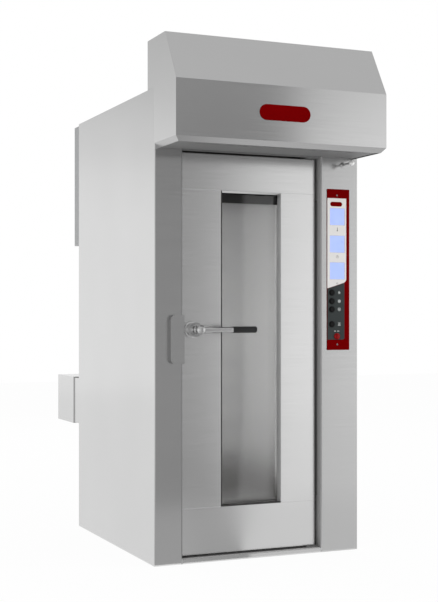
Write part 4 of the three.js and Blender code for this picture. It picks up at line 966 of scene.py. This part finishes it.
@dataclass
class Handle:
    """Lever handle: rose, stepped hub, round arm, black grip and latch tongue."""

    rose_bore: float = 8.6
    hub_radius: float = 25.0
    knuckle_radius: float = 23.0
    neck_radius: float = 20.5
    nose_radius: float = 12.0
    nose_reach: float = 19.0
    spindle_radius: float = 7.8
    arm_radius: float = 12.5
    socket_radius: float = 17.0
    socket_length: float = 54.0
    ferrule_length: float = 7.0
    ferrule_lap: float = 1.6
    bore_depth: float = 11.5

    def build(self) -> None:
        """Model the turned parts finely and dress the rest."""
        dress(Looks.polished, "latch_tongue")
        self._rose()
        self._lever()
        self._grip()

    def _rose(self) -> None:
        """Round rose with a soft edge, in place of the faceted one."""
        rose = extent("handle_rose")
        edge, front, back = rose.radius, rose.low.y, rose.high.y
        profile = [
            (self.rose_bore, back), (self.rose_bore, front), (edge - 8, front),
            (edge - 5, front + 0.7), (edge - 2, front + 2.2), (edge - 0.4, front + 4.2),
            (edge, front + 6.5), (edge, back),
        ]
        x, _, z = rose.middle
        disc = Shape().turned(Axis.Y, (x, 0.0, z), profile, 64, closed=True)
        disc.ride("handle_rose_disc", Looks.door, "door", "polished_steel", ["handle_rose"])

    def _lever(self) -> None:
        """Hub, knuckle, spindle and arm as smooth turned parts."""
        low, high = extent("handle_lever")
        rose, grip = extent("handle_rose"), extent("handle_grip").low.x
        x, _, z = rose.middle
        nose, axis, back = low.y, low.y + self.nose_reach, rose.low.y - 0.3
        tip, knuckle, neck, hub = (
            self.nose_radius, self.knuckle_radius, self.neck_radius, self.hub_radius
        )
        profile = [
            (0.0, nose), (tip - 2, nose), (tip, nose + 0.8), (tip + 6, nose + 6),
            (knuckle - 1, axis - 7.5), (knuckle, axis - 5), (knuckle, axis + 5),
            (knuckle - 1, axis + 8), (neck, axis + 17), (neck, axis + 19), (hub - 1, axis + 27),
            (hub, axis + 29), (hub, back - 1), (hub - 1, back), (0.0, back),
        ]
        centre, arm = (x, 0.0, z), (0.0, axis, z)
        lever = Shape().turned(Axis.Y, centre, profile, 64)
        lever.rod(Axis.Y, centre, self.spindle_radius, back - 3, high.y, 1.0, 24)
        for radius, start, end, chamfer in (
            (self.arm_radius, x, high.x, 1.0),
            (self.socket_radius, x, x + self.socket_length, 2.0),
            (self.arm_radius + self.ferrule_lap, grip - self.ferrule_length, grip - 0.4, 1.0),
        ):
            lever.rod(Axis.X, arm, radius, start, end, chamfer, 40)
        lever.ride("handle_arm", Looks.lever, "handle", "polished_steel", ["handle_lever"])

    def _grip(self) -> None:
        """Black grip with a rounded end and two shallow grooves."""
        grip = extent("handle_grip")
        radius, start, end = grip.radius, grip.low.x, grip.high.x
        bore, bottom = self.arm_radius + 0.25, end - self.bore_depth
        profile = [(bore, start), (radius - 1, start), (radius, start + 1)]
        for groove in (start + 8, start + 12):
            profile += [(radius, groove - 1), (radius - 0.8, groove), (radius, groove + 1)]
        profile += [
            (radius, end - 6), (radius - 0.8, end - 3), (radius - 2.6, end - 1),
            (radius - 5.5, end), (0.0, end), (0.0, bottom), (bore, bottom),
        ]
        _, y, z = grip.middle
        sleeve = Shape().turned(Axis.X, (0.0, y, z), profile, 40, closed=True)
        sleeve.ride("handle_grip_sleeve", Looks.grip, "handle", "grip", ["handle_grip"])


# --- the controls


class Mark(Enum):
    """Generic signs printed beside the keys and displays."""

    THERMOMETER = "thermometer"
    CLOCK = "clock"
    STEAM = "steam"
    LAMP = "lamp"
    FAN = "fan"
    TURN = "turn"
    TRAYS = "trays"


@dataclass
class Controls:
    """Red panel with a white and a dark field, three displays, four keys and a switch."""

    foil: float = 0.12
    inset: float = 0.4
    display_gap: float = 0.6
    white_right: float = 482.0
    white_top: float = 1777.0
    white_low_left: float = 1323.0
    white_low_right: float = 1356.0
    white_corner: float = 14.0
    dark_right: float = 472.0
    dark_low: float = 1065.0
    field_gap: float = 1.5
    pill_low: float = 1736.0
    pill_high: float = 1759.0
    mark_x: float = 442.0
    mark_drop: float = 22.0
    dashes: Outline = ((418.0, 1108.0), (436.0, 1108.0))
    screw_places: Outline = ((429.0, 1792.0), (431.0, 1041.0))
    screw_radius: float = 5.0
    screw_height: float = 1.4
    stem_radius: float = 3.8
    front: float = field(init=False)
    left: float = field(init=False)
    displays: list[Extent] = field(init=False)
    keys: list[Extent] = field(init=False)

    def build(self) -> None:
        """Dress the panel and add its fields, signs and small parts."""
        panel = extent("control_panel").low
        self.front, self.left = panel.y, panel.x + self.inset
        self.displays = [extent(f"display_{number}") for number in (1, 2, 3)]
        self.keys = [extent(f"key_{number}") for number in (1, 2, 3, 4)]
        dress(Looks.red, "control_panel")
        dress(Looks.display, "display_1", "display_2", "display_3")
        dress(Looks.zinc, "control_box")
        self._white_field()
        self._dark_field()
        self._marks()
        self._screws_and_bezels()
        for number, key in enumerate(self.keys, 1):
            self._key(f"key_{number}", key)
        self._switch()

    def _film(self, shape: Shape, outline: Outline, layers: int = 1) -> Shape:
        """Add a printed field, some foils thick, to a shape."""
        return shape.plate(Axis.Y, outline, self.front + 0.02, self.front - self.foil * layers)

    def _white_field(self) -> None:
        """White field round the displays: strips of foil, and a foot with a slanted edge."""
        gap, bend, left, right = self.display_gap, self.white_corner, self.left, self.white_right
        edges = [self.white_top]
        for low, high in self.displays:
            edges += [high.z + gap, low.z - gap]
        strips = Shape()
        spans = [(left, right, bottom, top) for top, bottom in zip(edges[0:6:2], edges[1:7:2])]
        for low, high in self.displays:
            spans += [(left, low.x - gap, low.z - gap, high.z + gap),
                      (high.x + gap, right, low.z - gap, high.z + gap)]
        for x0, x1, z0, z1 in spans:
            strips.box((x0, self.front - self.foil, z0), (x1, self.front + 0.02, z1))
        low, slant = self.white_low_right, self._slant()
        foot = [
            (left, self.white_low_left), (right - bend, low - slant * bend),
            (right - bend * 0.45, low - slant * bend * 0.45 + 3.0),
            (right - bend * 0.12, low + bend * 0.45), (right, low + bend), (right, edges[6]),
            (left, edges[6]),
        ]
        self._film(strips, foot)
        strips.ride("white_field", Looks.white, "cabinet", smooth=False)

    def _slant(self) -> float:
        """Slope of the white field's lower edge."""
        return (self.white_low_right - self.white_low_left) / (self.white_right - self.left)

    def _dark_field(self) -> None:
        """Dark field of the keys, and the red pill over the displays."""
        left, right, low = self.left, self.dark_right, self.dark_low
        top = self.white_low_left - self.field_gap
        outline = [
            (left, low), (right - 8, low), (right - 2, low + 3), (right, low + 9),
            (right, top + self._slant() * (right - left)), (left, top),
        ]
        dark = self._film(Shape(), outline)
        dark.ride("dark_field", Looks.slate, "cabinet", smooth=False)
        outline = rounded(left + 16, left + 84, self.pill_low, self.pill_high, 11.4)
        pill = self._film(Shape(), outline, 2)
        pill.ride("panel_pill", Looks.red, "cabinet", "red_enamel", smooth=False)

    def _marks(self) -> None:
        """Signs under the displays and beside the keys."""
        dark, pale = Shape(), Shape()
        middle = self.displays[0].middle[0]
        for display, sign in zip(self.displays, (Mark.THERMOMETER, Mark.CLOCK, Mark.STEAM)):
            self._sign(dark, sign, middle, display.low.z - self.mark_drop, 9.0)
        dark.ride("display_signs", Looks.ink, "cabinet", smooth=False)
        for key, sign in zip(self.keys, (Mark.LAMP, Mark.FAN, Mark.TURN, Mark.TRAYS)):
            self._sign(pale, sign, self.mark_x, key.middle[2], 8.0)
        for x, z in self.dashes:
            self._bar(pale, x, z, 11.0, 3.2)
        pale.ride("key_signs", Looks.print, "cabinet", smooth=False)

    def _sign(self, shape: Shape, sign: Mark, x: float, z: float, size: float) -> None:
        """Draw one generic sign as raised print.

        Args:
            shape: the shape that takes it.
            sign: which sign.
            x: its middle.
            z: its middle.
            size: half of its height.
        """
        rings, bars = {
            Mark.THERMOMETER: ((), ((0, 1.5, 3.0, 1.7 * size),)),
            Mark.CLOCK: ((0.8 * size,), ((0, 2.0, 1.4, 5.0), (1.6, 0, 4.0, 1.4))),
            Mark.STEAM: ((), [(shift, 0, 1.5, size, 14.0) for shift in (-4.5, 0, 4.5)]),
            Mark.LAMP: ((0.6 * size,), [(0, 0, 1.2, 2 * size, turn) for turn in (0, 45, 90, 135)]),
            Mark.FAN: ((size,), [(0, 0, 2.4, 1.5 * size, turn) for turn in (0, 60, 120)]),
            Mark.TURN: ((size, 0.45 * size), ()),
            Mark.TRAYS: ((), ((0, -6, 1.9 * size, 2.2), (0, 0, 1.9 * size, 2.2),
                              (0, 6, 1.9 * size, 2.2), (0, 0, 2.2, 2 * size))),
        }[sign]
        for radius in rings:
            span = (-self.foil, -2 * self.foil)
            shape.ring(Axis.Y, (x, self.front, z), (radius - 1.6, radius), span, 24)
        for right, up, *bar in bars:
            self._bar(shape, x + right, z + up, *bar)
        if sign is Mark.THERMOMETER:
            shape.turned(
                Axis.Y, (x, self.front, z - size * 0.7),
                [(0.0, -self.foil), (3.6, -self.foil), (3.6, -2 * self.foil),
                 (0.0, -2 * self.foil)], 20,
            )

    def _bar(
        self, shape: Shape, x: float, z: float, wide: float, high: float, lean: float = 0.0
    ) -> None:
        """Draw a raised bar.

        Args:
            shape: the shape that takes it.
            x: its middle.
            z: its middle.
            wide: its width.
            high: its height.
            lean: angle in degrees that it leans by.
        """
        cos, sin = math.cos(math.radians(lean)), math.sin(math.radians(lean))
        corners = ((-wide / 2, -high / 2), (wide / 2, -high / 2), (wide / 2, high / 2),
                   (-wide / 2, high / 2))
        outline = [(x + a * cos - b * sin, z + a * sin + b * cos) for a, b in corners]
        shape.plate(Axis.Y, outline, self.front - self.foil, self.front - 2 * self.foil)

    def _screws_and_bezels(self) -> None:
        """Dark screws in the red bands, and raised rings round the keys."""
        screws, rings = Shape(), Shape()
        for x, z in self.screw_places:
            screws.screw((x, self.front, z), self.screw_radius, self.screw_height, -1)
        screws.ride("panel_screws", Looks.ink, "cabinet")
        for key in self.keys:
            x, _, z = key.middle
            inner, outer = key.radius + 0.5, key.radius + 3
            profile = [(inner, 0.0), (outer, 0.0), (outer - 0.6, -2.0), (inner, -2.0)]
            rings.turned(Axis.Y, (x, self.front, z), profile, 40, closed=True)
        rings.ride("key_bezels", Looks.black, "cabinet", "black_plastic")

    def _key(self, name: str, key: Extent) -> None:
        """Round key cap with a dished face, in place of the faceted one.

        Args:
            name: the key's node, and its body.
            key: its box.
        """
        x, _, z = key.middle
        radius, stem = key.radius, key.high.y - key.low.y
        profile = [
            (0.0, 0.7), (radius * 0.55, 0.5), (radius - 2.6, 0.1), (radius - 1.6, 0.0),
            (radius - 0.5, 0.6), (radius, 2.0), (radius, 6.0), (self.stem_radius, 6.0),
            (self.stem_radius, stem), (0.0, stem),
        ]
        cap = Shape().turned(Axis.Y, (x, key.low.y, z), profile, 40)
        cap.ride(f"{name}_cap", Looks.black, name, "black_plastic", [name])

    def _switch(self) -> None:
        """Red rotary switch: round skirt and a raised wing."""
        knob = extent("main_switch")
        x, _, z = knob.middle
        radius, skirt, seat = knob.radius, self.front - 7.3, self.front - 0.3
        profile = [
            (0.0, skirt), (radius - 3, skirt), (radius - 1, skirt + 1), (radius, skirt + 3),
            (radius, seat), (self.stem_radius, seat), (self.stem_radius, knob.high.y),
            (0.0, knob.high.y),
        ]
        switch = Shape().turned(Axis.Y, (x, 0.0, z), profile, 40)
        half = radius - CLEAR
        wing = rounded(x - 4, x + 4, z - half, z + half, 3.9)
        switch.plate(Axis.Y, wing, skirt + 1, knob.low.y, 1.2)
        switch.ride("main_switch_knob", Looks.switch, "main_switch", "red_plastic", ["main_switch"])


# --- the vent


@dataclass
class SteamVent:
    """Pull rod with its ball and collar, and the duct to the roof."""

    neck_radius: float = 7.0
    bore_radius: float = 5.6
    collar_bore: float = 6.0
    collar_radius: float = 13.0
    collar_length: float = 16.0
    sleeve_radius: float = 8.0
    port_drop: float = 80.0
    gate_room: float = 109.5
    gate_top: float = 10.0
    rod_room: float = 9.0
    lining: float = 1.0
    flashing_lap: float = 32.0
    flashing_height: float = 16.0
    flashing_sheet: float = 1.5

    def build(self) -> None:
        """Dress rod and duct, and model ball, collar, flashing and lining."""
        dress(Looks.satin, "vent_rod")
        dress(Looks.zinc, "vent_duct")
        self._ball()
        self._collar()
        self._flashing()
        self._port_lining()

    def _ball(self) -> None:
        """Smooth ball with a short neck."""
        ball = extent("vent_knob")
        radius, neck, bore = ball.radius, self.neck_radius, self.bore_radius
        turns = [math.radians(angle) for angle in range(6, 151, 6)]
        profile = [
            (0.0, -radius), *((radius * math.sin(a), -radius * math.cos(a)) for a in turns),
            (neck, radius * 0.9), (neck, radius - 0.05), (bore, radius - 0.05), (bore, 0.0),
            (0.0, 0.0),
        ]
        shape = Shape().turned(Axis.Y, ball.middle, profile, 48)
        shape.ride("vent_ball", Looks.ball, "vent_control", replaces=["vent_knob"])

    def _collar(self) -> None:
        """Turned guide collar on the pillar's face."""
        x, _, z = extent("vent_knob").middle
        seat = extent("side_panel_right").low.y - CLEAR
        bore, rim, sleeve = self.collar_bore, self.collar_radius, self.sleeve_radius
        end = seat - self.collar_length
        profile = [
            (bore, seat), (rim, seat), (rim, seat - 3), (rim - 2, seat - 4.5),
            (sleeve + 1, seat - 5), (sleeve, seat - 6), (sleeve, end), (bore, end),
        ]
        collar = Shape().turned(Axis.Y, (x, 0.0, z), profile, 40, closed=True)
        collar.ride("vent_collar", Looks.satin, "cabinet", "polished_steel")

    def _port_lining(self) -> None:
        """Sheet that lines the channel behind the chamber's vent port."""
        duct, sheet, room = extent("vent_duct"), self.lining, self.rod_room
        stem, _, middle = extent("vent_rod").middle
        x0, x1 = extent("chamber_liner").high.x + 0.5, duct.high.x + CLEAR
        y0, y1 = duct.low.y - self.gate_room, duct.high.y + CLEAR
        front, rim, lid = duct.low.y - 0.3, middle + 2.4, middle + self.gate_top
        z0 = middle - self.port_drop + 0.1
        inner, floor, slot = x1 - sheet, z0 + sheet, middle - room
        lining = Shape()
        for low, high in (
            ((inner, front, z0), (x1, y1, rim)),
            ((inner, y0, z0), (x1, front, lid)),
            ((x0, y0, z0), (inner, y1, floor)),
            ((x0, y1 - sheet, floor), (inner, y1, rim)),
            ((x0, y0, lid - sheet), (inner, front, lid)),
            ((x0, y0, floor), (inner, y0 + sheet, slot)),
            ((x0, y0, slot), (stem - room, y0 + sheet, lid - sheet)),
            ((stem + room, y0, slot), (inner, y0 + sheet, lid - sheet)),
        ):
            lining.box(low, high)
        lining.ride("port_lining", Looks.liner, "cabinet", "liner", smooth=False)

    def _flashing(self) -> None:
        """Folded flashing that covers the roof's cut-out round the duct."""
        (low, high), roof = extent("vent_duct"), extent("roof_panel").high
        lap, sheet, z0 = self.flashing_lap, self.flashing_sheet, roof.z + 0.3
        x0, x1, y0, y1 = low.x - CLEAR, high.x + CLEAR, low.y - CLEAR, high.y + CLEAR
        near, far, right = low.y - lap, high.y + lap, roof.x - 0.5
        flat = (
            (low.x - lap, near, x0, far), (x1, near, right, far), (x0, near, x1, y0),
            (x0, y1, x1, far),
        )
        upright = (
            (x0 - sheet, low.y - sheet, x0, high.y + sheet),
            (x1, low.y - sheet, x1 + sheet, high.y + sheet),
            (x0, y0 - sheet, x1, y0), (x0, y1, x1, y1 + sheet),
        )
        flashing = Shape()
        for walls, height in ((flat, sheet), (upright, self.flashing_height)):
            for left, front, end, back in walls:
                flashing.box((left, front, z0), (end, back, z0 + height))
        flashing.ride("duct_flashing", Looks.zinc, "cabinet", "galvanised", smooth=False)


# --- chamber and plant


@dataclass
class Chamber:
    """Liner, frame, floor, wool, lamp and the turning hook."""

    def build(self) -> None:
        """Dress the chamber."""
        dress(Looks.liner, "door_frame", "chamber_liner", "ceiling_liner", "diffuser_wall")
        dress(Looks.chamber_floor, "chamber_floor")
        dress(Looks.wool, "wall_insulation", "roof_insulation")
        dress(Looks.lamp, "chamber_lamp")
        dress(Looks.hot, "rotor_hook")
        dress(Looks.iron, "rotor_bearing")


@dataclass
class HeatPlant:
    """Fan, exchanger, burner, flue, cascade, drive and the covers behind."""

    screw_radius: float = 5.0
    screw_height: float = 2.2
    casing_margin: float = 22.0
    casing_rise: float = 70.0
    cover_margin: float = 18.0
    flue_radius: float = 55.0
    band_drop: float = 30.0
    band_width: float = 14.0
    band_height: float = 1.6
    motor_axis: float = 64.0
    motor_length: float = 180.0
    motor_radius: float = 62.0
    motor_cap: float = 16.0
    fin_count: int = 9
    fin_height: float = 1.7
    fin_thickness: float = 2.4
    box_size: float = 70.0
    box_height: float = 30.0
    box_back: float = 40.0
    lid_lap: float = 1.5
    bolt_radius: float = 6.5
    bolt_reach: float = 97.0
    bolt_rows: tuple[float, ...] = (13.0, 207.0)
    bolt_span: Pair = (10.0, 17.0)

    def build(self) -> None:
        """Dress the plant and add fins, clamp bands and screws."""
        dress(Looks.hot, "circulation_fan", "heat_exchanger")
        dress(Looks.motor, "fan_motor", "rotor_gearmotor")
        dress(Looks.zinc, "flue_pipe")
        dress(Looks.burner, "burner")
        dress(Looks.iron, "steam_cascade")
        dress(Looks.cabinet, "burner_cover")
        dress(Looks.casing, "rear_casing")
        self._screws()
        self._flue_band()
        self._rain_collar()
        self._motor_details()

    def _screws(self) -> None:
        """Screws in the back of the casing high up, and in the back of the low cover."""
        low, high = extent("rear_casing")
        inset, size = self.casing_margin, (self.screw_radius, self.screw_height)
        screws = Shape()
        for x in (low.x + inset, 0.0, high.x - inset):
            for z in (low.z + self.casing_rise, high.z - inset):
                screws.screw((x, high.y, z), *size)
        screws.ride("casing_screws", Looks.polished, "cabinet", "polished_steel")
        low, high = extent("burner_cover")
        inset, seat = self.cover_margin, high.y - self.screw_height - 0.1
        screws = Shape()
        for x in (low.x + inset, high.x - inset):
            for z in (low.z + inset, high.z - inset):
                screws.screw((x, seat, z), *size)
        screws.ride("cover_screws", Looks.polished, "cabinet", "polished_steel")

    def _flue_band(self) -> None:
        """Clamp band with its bolt round the flue's top."""
        flue = extent("flue_pipe")
        x, y, _ = flue.middle
        z, half = flue.high.z - self.band_drop, self.band_width / 2
        radii = (self.flue_radius + 0.1, self.flue_radius + self.band_height)
        band = Shape().ring(Axis.Z, (x, y, z), radii, (-half, half), 48)
        root = x + self.flue_radius
        for ear in (y - 9, y + 6):
            band.box((root + 0.8, ear, z - half + 1), (root + 9, ear + 3, z + half - 1), 0.5)
        band.rod(Axis.Y, (root + 5.5, y, z), 2.2, -13.0, 13.0, 0.4, 16)
        band.ride("flue_clamp", Looks.zinc, "cabinet", "galvanised")

    def _rain_collar(self) -> None:
        """Spun rain collar round the flue, over its flashing plate."""
        x, y, _ = extent("flue_pipe").middle
        inner = self.flue_radius + CLEAR
        profile = [
            (inner, 26.0), (inner + 1.6, 26.0), (inner + 3, 20.0), (inner + 17, 4.0),
            (inner + 22, 3.6), (inner + 22, 2.2), (inner + 16, 2.2), (inner, 20.0),
        ]
        centre = (x, y, extent("roof_panel").high.z)
        collar = Shape().turned(Axis.Z, centre, profile, 48, closed=True)
        collar.ride("flue_rain_collar", Looks.zinc, "cabinet", "galvanised")

    def _motor_details(self) -> None:
        """Cooling fins round the gearmotor, its terminal box and the foot's bolts."""
        motor = extent("rotor_gearmotor")
        x, z = motor.middle[0], motor.low.z + self.motor_axis
        start, end = motor.high.y - self.motor_length, motor.high.y - self.motor_cap
        pitch, half = (end - start) / self.fin_count, self.fin_thickness / 2
        radii = (self.motor_radius - 1, self.motor_radius + self.fin_height)
        fins = Shape()
        for index in range(self.fin_count):
            y = start + (index + 0.5) * pitch
            fins.ring(Axis.Y, (x, y, z), radii, (-half, half), 40)
        fins.ride("gearmotor_fins", Looks.motor, "cabinet", "motor_paint")
        half, lap, back = self.box_size / 2, self.lid_lap, end - self.box_back
        seat, lid = z + self.motor_radius, z + self.motor_radius + self.box_height
        terminals = Shape().box(
            (x - half, back - self.box_size, seat - 8), (x + half, back, lid), 3.0
        )
        terminals.box((x - half - lap, back - lap - self.box_size, lid - 6),
                      (x + half + lap, back + lap, lid + 2), 1.5)
        terminals.ride("terminal_box", Looks.motor, "cabinet", "motor_paint")
        bolts = Shape()
        start, end = (motor.low.z + rise for rise in self.bolt_span)
        for side in (-self.bolt_reach, self.bolt_reach):
            for row in self.bolt_rows:
                place = (x + side, motor.low.y + row, 0.0)
                bolts.rod(Axis.Z, place, self.bolt_radius, start, end, 1.0, 6)
        bolts.ride("gearmotor_bolts", Looks.zinc, "cabinet", "galvanised")


# --- the studio


@dataclass
class Studio:
    """White room with soft lamps, and cards that the steel mirrors. Places are in metres."""

    camera_place: Point = (-2.5541, -6.0765, 1.189)
    camera_yaw: float = 23.413
    lens: float = 72.807
    sensor: float = 36.0
    shift: float = 0.02332
    room: float = 15.0
    card_front: float = -8.0
    card_back: float = 12.0
    card_top: float = 6.0
    card_floor: float = 0.001
    card_side: float = 9.0
    dark: float = 0.31
    left_level: float = 0.55
    bright: float = 1.0
    mirror: float = -0.68
    floor_edge: float = -2.33
    floor_near: float = -0.7
    cabinet_left: float = -0.555

    def build(self) -> None:
        """Place the camera, the floor, the cards, the lamps and the world."""
        self._camera()
        self._floor()
        self._cards()
        self._lamps()
        self._world()

    def _camera(self) -> None:
        """Camera at the photograph's place and angle."""
        data = bpy.data.cameras.new("camera")
        data.lens = self.lens
        data.sensor_width = self.sensor
        data.shift_y = self.shift
        camera = self._put("camera", data)
        camera.location = self.camera_place
        camera.rotation_euler = (math.pi / 2, 0.0, -math.radians(self.camera_yaw))
        bpy.context.scene.camera = camera

    def _put(self, name: str, data: bpy.types.ID) -> bpy.types.Object:
        """Put an object into the scene."""
        made = bpy.data.objects.new(name, data)
        bpy.context.scene.collection.objects.link(made)
        return made

    def _seen(self, nodes: Nodes) -> Socket:
        """Factor that is 1 for camera, glossy and transmission rays."""
        ray = nodes.add("LightPath", {}).node.outputs
        first = nodes.calc("MAXIMUM", ray["Is Camera Ray"], ray["Is Glossy Ray"])
        return nodes.calc("MAXIMUM", first, ray["Is Transmission Ray"])

    def _sheet(
        self, name: str, low: Point, high: Point, material: bpy.types.Material
    ) -> bpy.types.Object:
        """One flat stage sheet.

        Args:
            name: its name.
            low: its lowest corner.
            high: its highest corner.
            material: its material.

        Returns:
            The sheet.
        """
        (x0, y0, z0), (x1, y1, z1) = low, high
        corners = ((x0, y0, z0), (x1, y0, z0), (x1, y1, z1), (x0, y1, z1))
        mesh = bmesh.new()
        mesh.faces.new([mesh.verts.new(corner) for corner in corners])
        data = bpy.data.meshes.new(name)
        mesh.to_mesh(data)
        mesh.free()
        data.materials.append(material)
        sheet = self._put(name, data)
        return sheet

    def _floor(self) -> None:
        """Pale floor that keeps a light shadow."""
        material = bpy.data.materials.new("pale studio floor")
        nodes = Nodes(material)
        matt = nodes.add("BsdfDiffuse", {"Color": linear("#f4f4f4")})
        glow = nodes.add("Emission", {"Strength": 1.0})
        share = nodes.calc("MULTIPLY", self._seen(nodes), 0.95)
        nodes.close("Material", nodes.add("MixShader", {0: share, 1: matt, 2: glow}))
        size = self.room
        self._sheet("floor", (-size, -size, 0), (size, size, 0), material)

    def _ramp(self, nodes: Nodes, source: Socket, stops: Outline) -> Socket:
        """Grey level along a coordinate.

        Args:
            nodes: the card's nodes.
            source: the coordinate.
            stops: (metres, level) pairs.

        Returns:
            The level.
        """
        first, last = stops[0][0], stops[-1][0]
        share = nodes.add("MapRange", {0: source, "From Min": first, "From Max": last})
        color = nodes.add("ValToRGB", {0: share})
        band = color.node.color_ramp
        band.interpolation = "EASE"
        while len(band.elements) < len(stops):
            band.elements.new(0.5)
        for element, (place, level) in zip(band.elements, stops):
            element.position = (place - first) / (last - first)
            element.color = (level, level, level, 1.0)
        return color

    def _bearing(self, nodes: Nodes) -> Socket:
        """Where the front card's X lies in line with a point, seen from the mirrored camera.

        Args:
            nodes: the card's nodes.

        Returns:
            That X in metres.
        """
        side, back = -self.camera_place[0], 2 * self.mirror - self.camera_place[1]
        off = nodes.calc("ADD", nodes.along("X"), side)
        slope = nodes.calc("DIVIDE", off, nodes.calc("SUBTRACT", back, nodes.along("Y")))
        return nodes.calc("MULTIPLY_ADD", slope, back - self.card_front, -side)

    def _card(
        self, name: str, low: Point, high: Point, across: Outline,
        up: Outline = ((0.0, 1.0), (9.0, 1.0)), drift: Outline = ((0.0, 1.0), (9.0, 1.0)),
        lift: float = 0.0, gain: float = 1.0,
    ) -> None:
        """A glowing card that only reflections see.

        Args:
            name: its name.
            low: its lowest corner.
            high: its highest corner.
            across: (metres, level) pairs along the front card, or in line with it.
            up: (metres, share) pairs along Z, which dim what is over the dark level.
            drift: (metres, share) pairs along Z, which dim all of it.
            lift: level added to all of it.
            gain: share of the level that is kept.
        """
        material = bpy.data.materials.new(f"{name} card")
        nodes = Nodes(material)
        level = self._ramp(nodes, self._bearing(nodes), across)
        over = nodes.calc("SUBTRACT", level, self.dark)
        part = nodes.calc("MULTIPLY", over, self._ramp(nodes, nodes.along("Z"), up))
        total = nodes.calc("ADD", part, self.dark)
        final = nodes.calc("MULTIPLY_ADD", total, gain, lift)
        faded = nodes.calc("MULTIPLY", final, self._ramp(nodes, nodes.along("Z"), drift))
        nodes.close("Material", nodes.add("Emission", {"Strength": faded}))
        card = self._sheet("card_" + name.replace(" ", "_"), low, high, material)
        card.visible_camera = False
        card.visible_diffuse = False
        card.visible_shadow = False
        card.visible_volume_scatter = False

    def _cards(self) -> None:
        """Front wall with a dark flag and a bright panel, back wall, ceiling and three floors."""
        wide, top, side, low = self.room, self.card_top, self.card_side, self.card_floor
        y0, y1, edge, near = self.card_front, self.card_back, self.floor_edge, self.floor_near
        flag, deep = self.dark - 0.015, self.dark - 0.08
        steps = [
            (-side, 0.75), (0.0, self.left_level), (1.6, self.dark), (2.1, flag), (2.6, flag),
            (2.9, deep), (3.31, deep), (3.39, 0.82), (4.3, 0.92), (5.0, self.bright),
            (side, self.bright),
        ]
        heights = [(0.0, 1.0), (3.1, 1.0), (3.45, 0.8), (3.8, 0.6), (6.0, 0.5)]
        drift = [
            (0.0, 1.0), (0.8, 1.0), (1.6, 0.97), (2.3, 0.94), (2.75, 0.87), (3.1, 0.9),
            (3.6, 0.97), (6.0, 0.96),
        ]
        behind = [(0.0, 1.0), (2.6, 0.98), (3.2, 0.92), (3.9, 0.74), (5.0, 0.5), (6.0, 0.4)]
        ground = [*steps[:8], (4.7, 0.84), (5.4, 0.78), (side, 0.78)]
        self._card("front", (-wide, y0, 0), (wide, y0, top), steps, heights, drift, lift=-0.005,
                   gain=1.08)
        self._card("back", (-wide, y1, 0), (wide, y1, top), self._even(0.96), behind)
        self._card("ceiling", (-wide, y0, top), (wide, y1, top), self._even(0.58))
        self._card("back floor", (-side, near, low), (self.cabinet_left, y1, low), self._even(0.88))
        self._card("near floor", (-3.0, edge, low), (3.5, near, low), ground, lift=0.28, gain=0.55)
        self._card("far floor", (-side, y0, low), (side, edge, low), ground, lift=0.02)

    def _even(self, level: float) -> Outline:
        """The same level all across."""
        return (-self.card_side, level), (self.card_side, level)

    def _lamp(
        self, name: str, place: Point, aim: Vector, power: float, size: float
    ) -> bpy.types.Object:
        """A soft round lamp that reflections don't show.

        Args:
            name: its name.
            place: where it hangs.
            aim: the way that it shines.
            power: its power in watts.
            size: its width.

        Returns:
            The lamp.
        """
        data = bpy.data.lights.new(name, "AREA")
        data.shape = "DISK"
        data.size = size
        data.energy = power
        lamp = self._put(name, data)
        lamp.location = place
        lamp.rotation_euler = aim.to_track_quat("-Z", "Y").to_euler()
        lamp.visible_glossy = False
        return lamp

    def _lamps(self) -> None:
        """Soft key and fill for the matt parts, and the light of the lamp in the chamber."""
        middle = Vector((0.0, 0.0, 1.2))
        for name, place, size, power in (
            ("key_lamp", (-3.6, -5.2, 4.6), 3.0, 110.0),
            ("fill_lamp", (4.6, -4.2, 3.2), 3.5, 60.0),
            ("back_lamp", (1.5, 6.0, 4.5), 3.5, 70.0),
        ):
            self._lamp(name, place, middle - Vector(place), power, size)
        low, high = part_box("chamber_lamp")
        place = ((low.x + high.x) / 2 - 0.1, low.y + 0.02, 1.08)
        light = self._lamp("chamber_light", place, Vector((0.25, 0.6, 0.0)), 16.0, 0.5)
        light.data.shape = "RECTANGLE"
        light.data.size_y = 1.6
        light.visible_camera = False
        light.visible_transmission = False

    def _world(self) -> None:
        """White world: full for what is seen, softer for what it lights."""
        world = bpy.data.worlds.new("white room")
        bpy.context.scene.world = world
        nodes = Nodes(world)
        strength = nodes.add("MapRange", {0: self._seen(nodes), "To Min": 0.75, "To Max": 1.0})
        white = {"Color": linear("#ffffff"), "Strength": strength}
        nodes.close("World", nodes.add("Background", white))
        bpy.context.scene.view_settings.view_transform = "Standard"


def main() -> None:
    """Build the studio and every sub-assembly of the oven."""
    logging.basicConfig(level=logging.INFO, format="%(message)s")
    for part in (
        Studio(), Cabinet(), Hood(), Door(), Handle(), Controls(), SteamVent(), Chamber(),
        HeatPlant(),
    ):
        part.build()
        LOG.info("built %s", type(part).__name__)


if __name__ == "__main__":
    main()
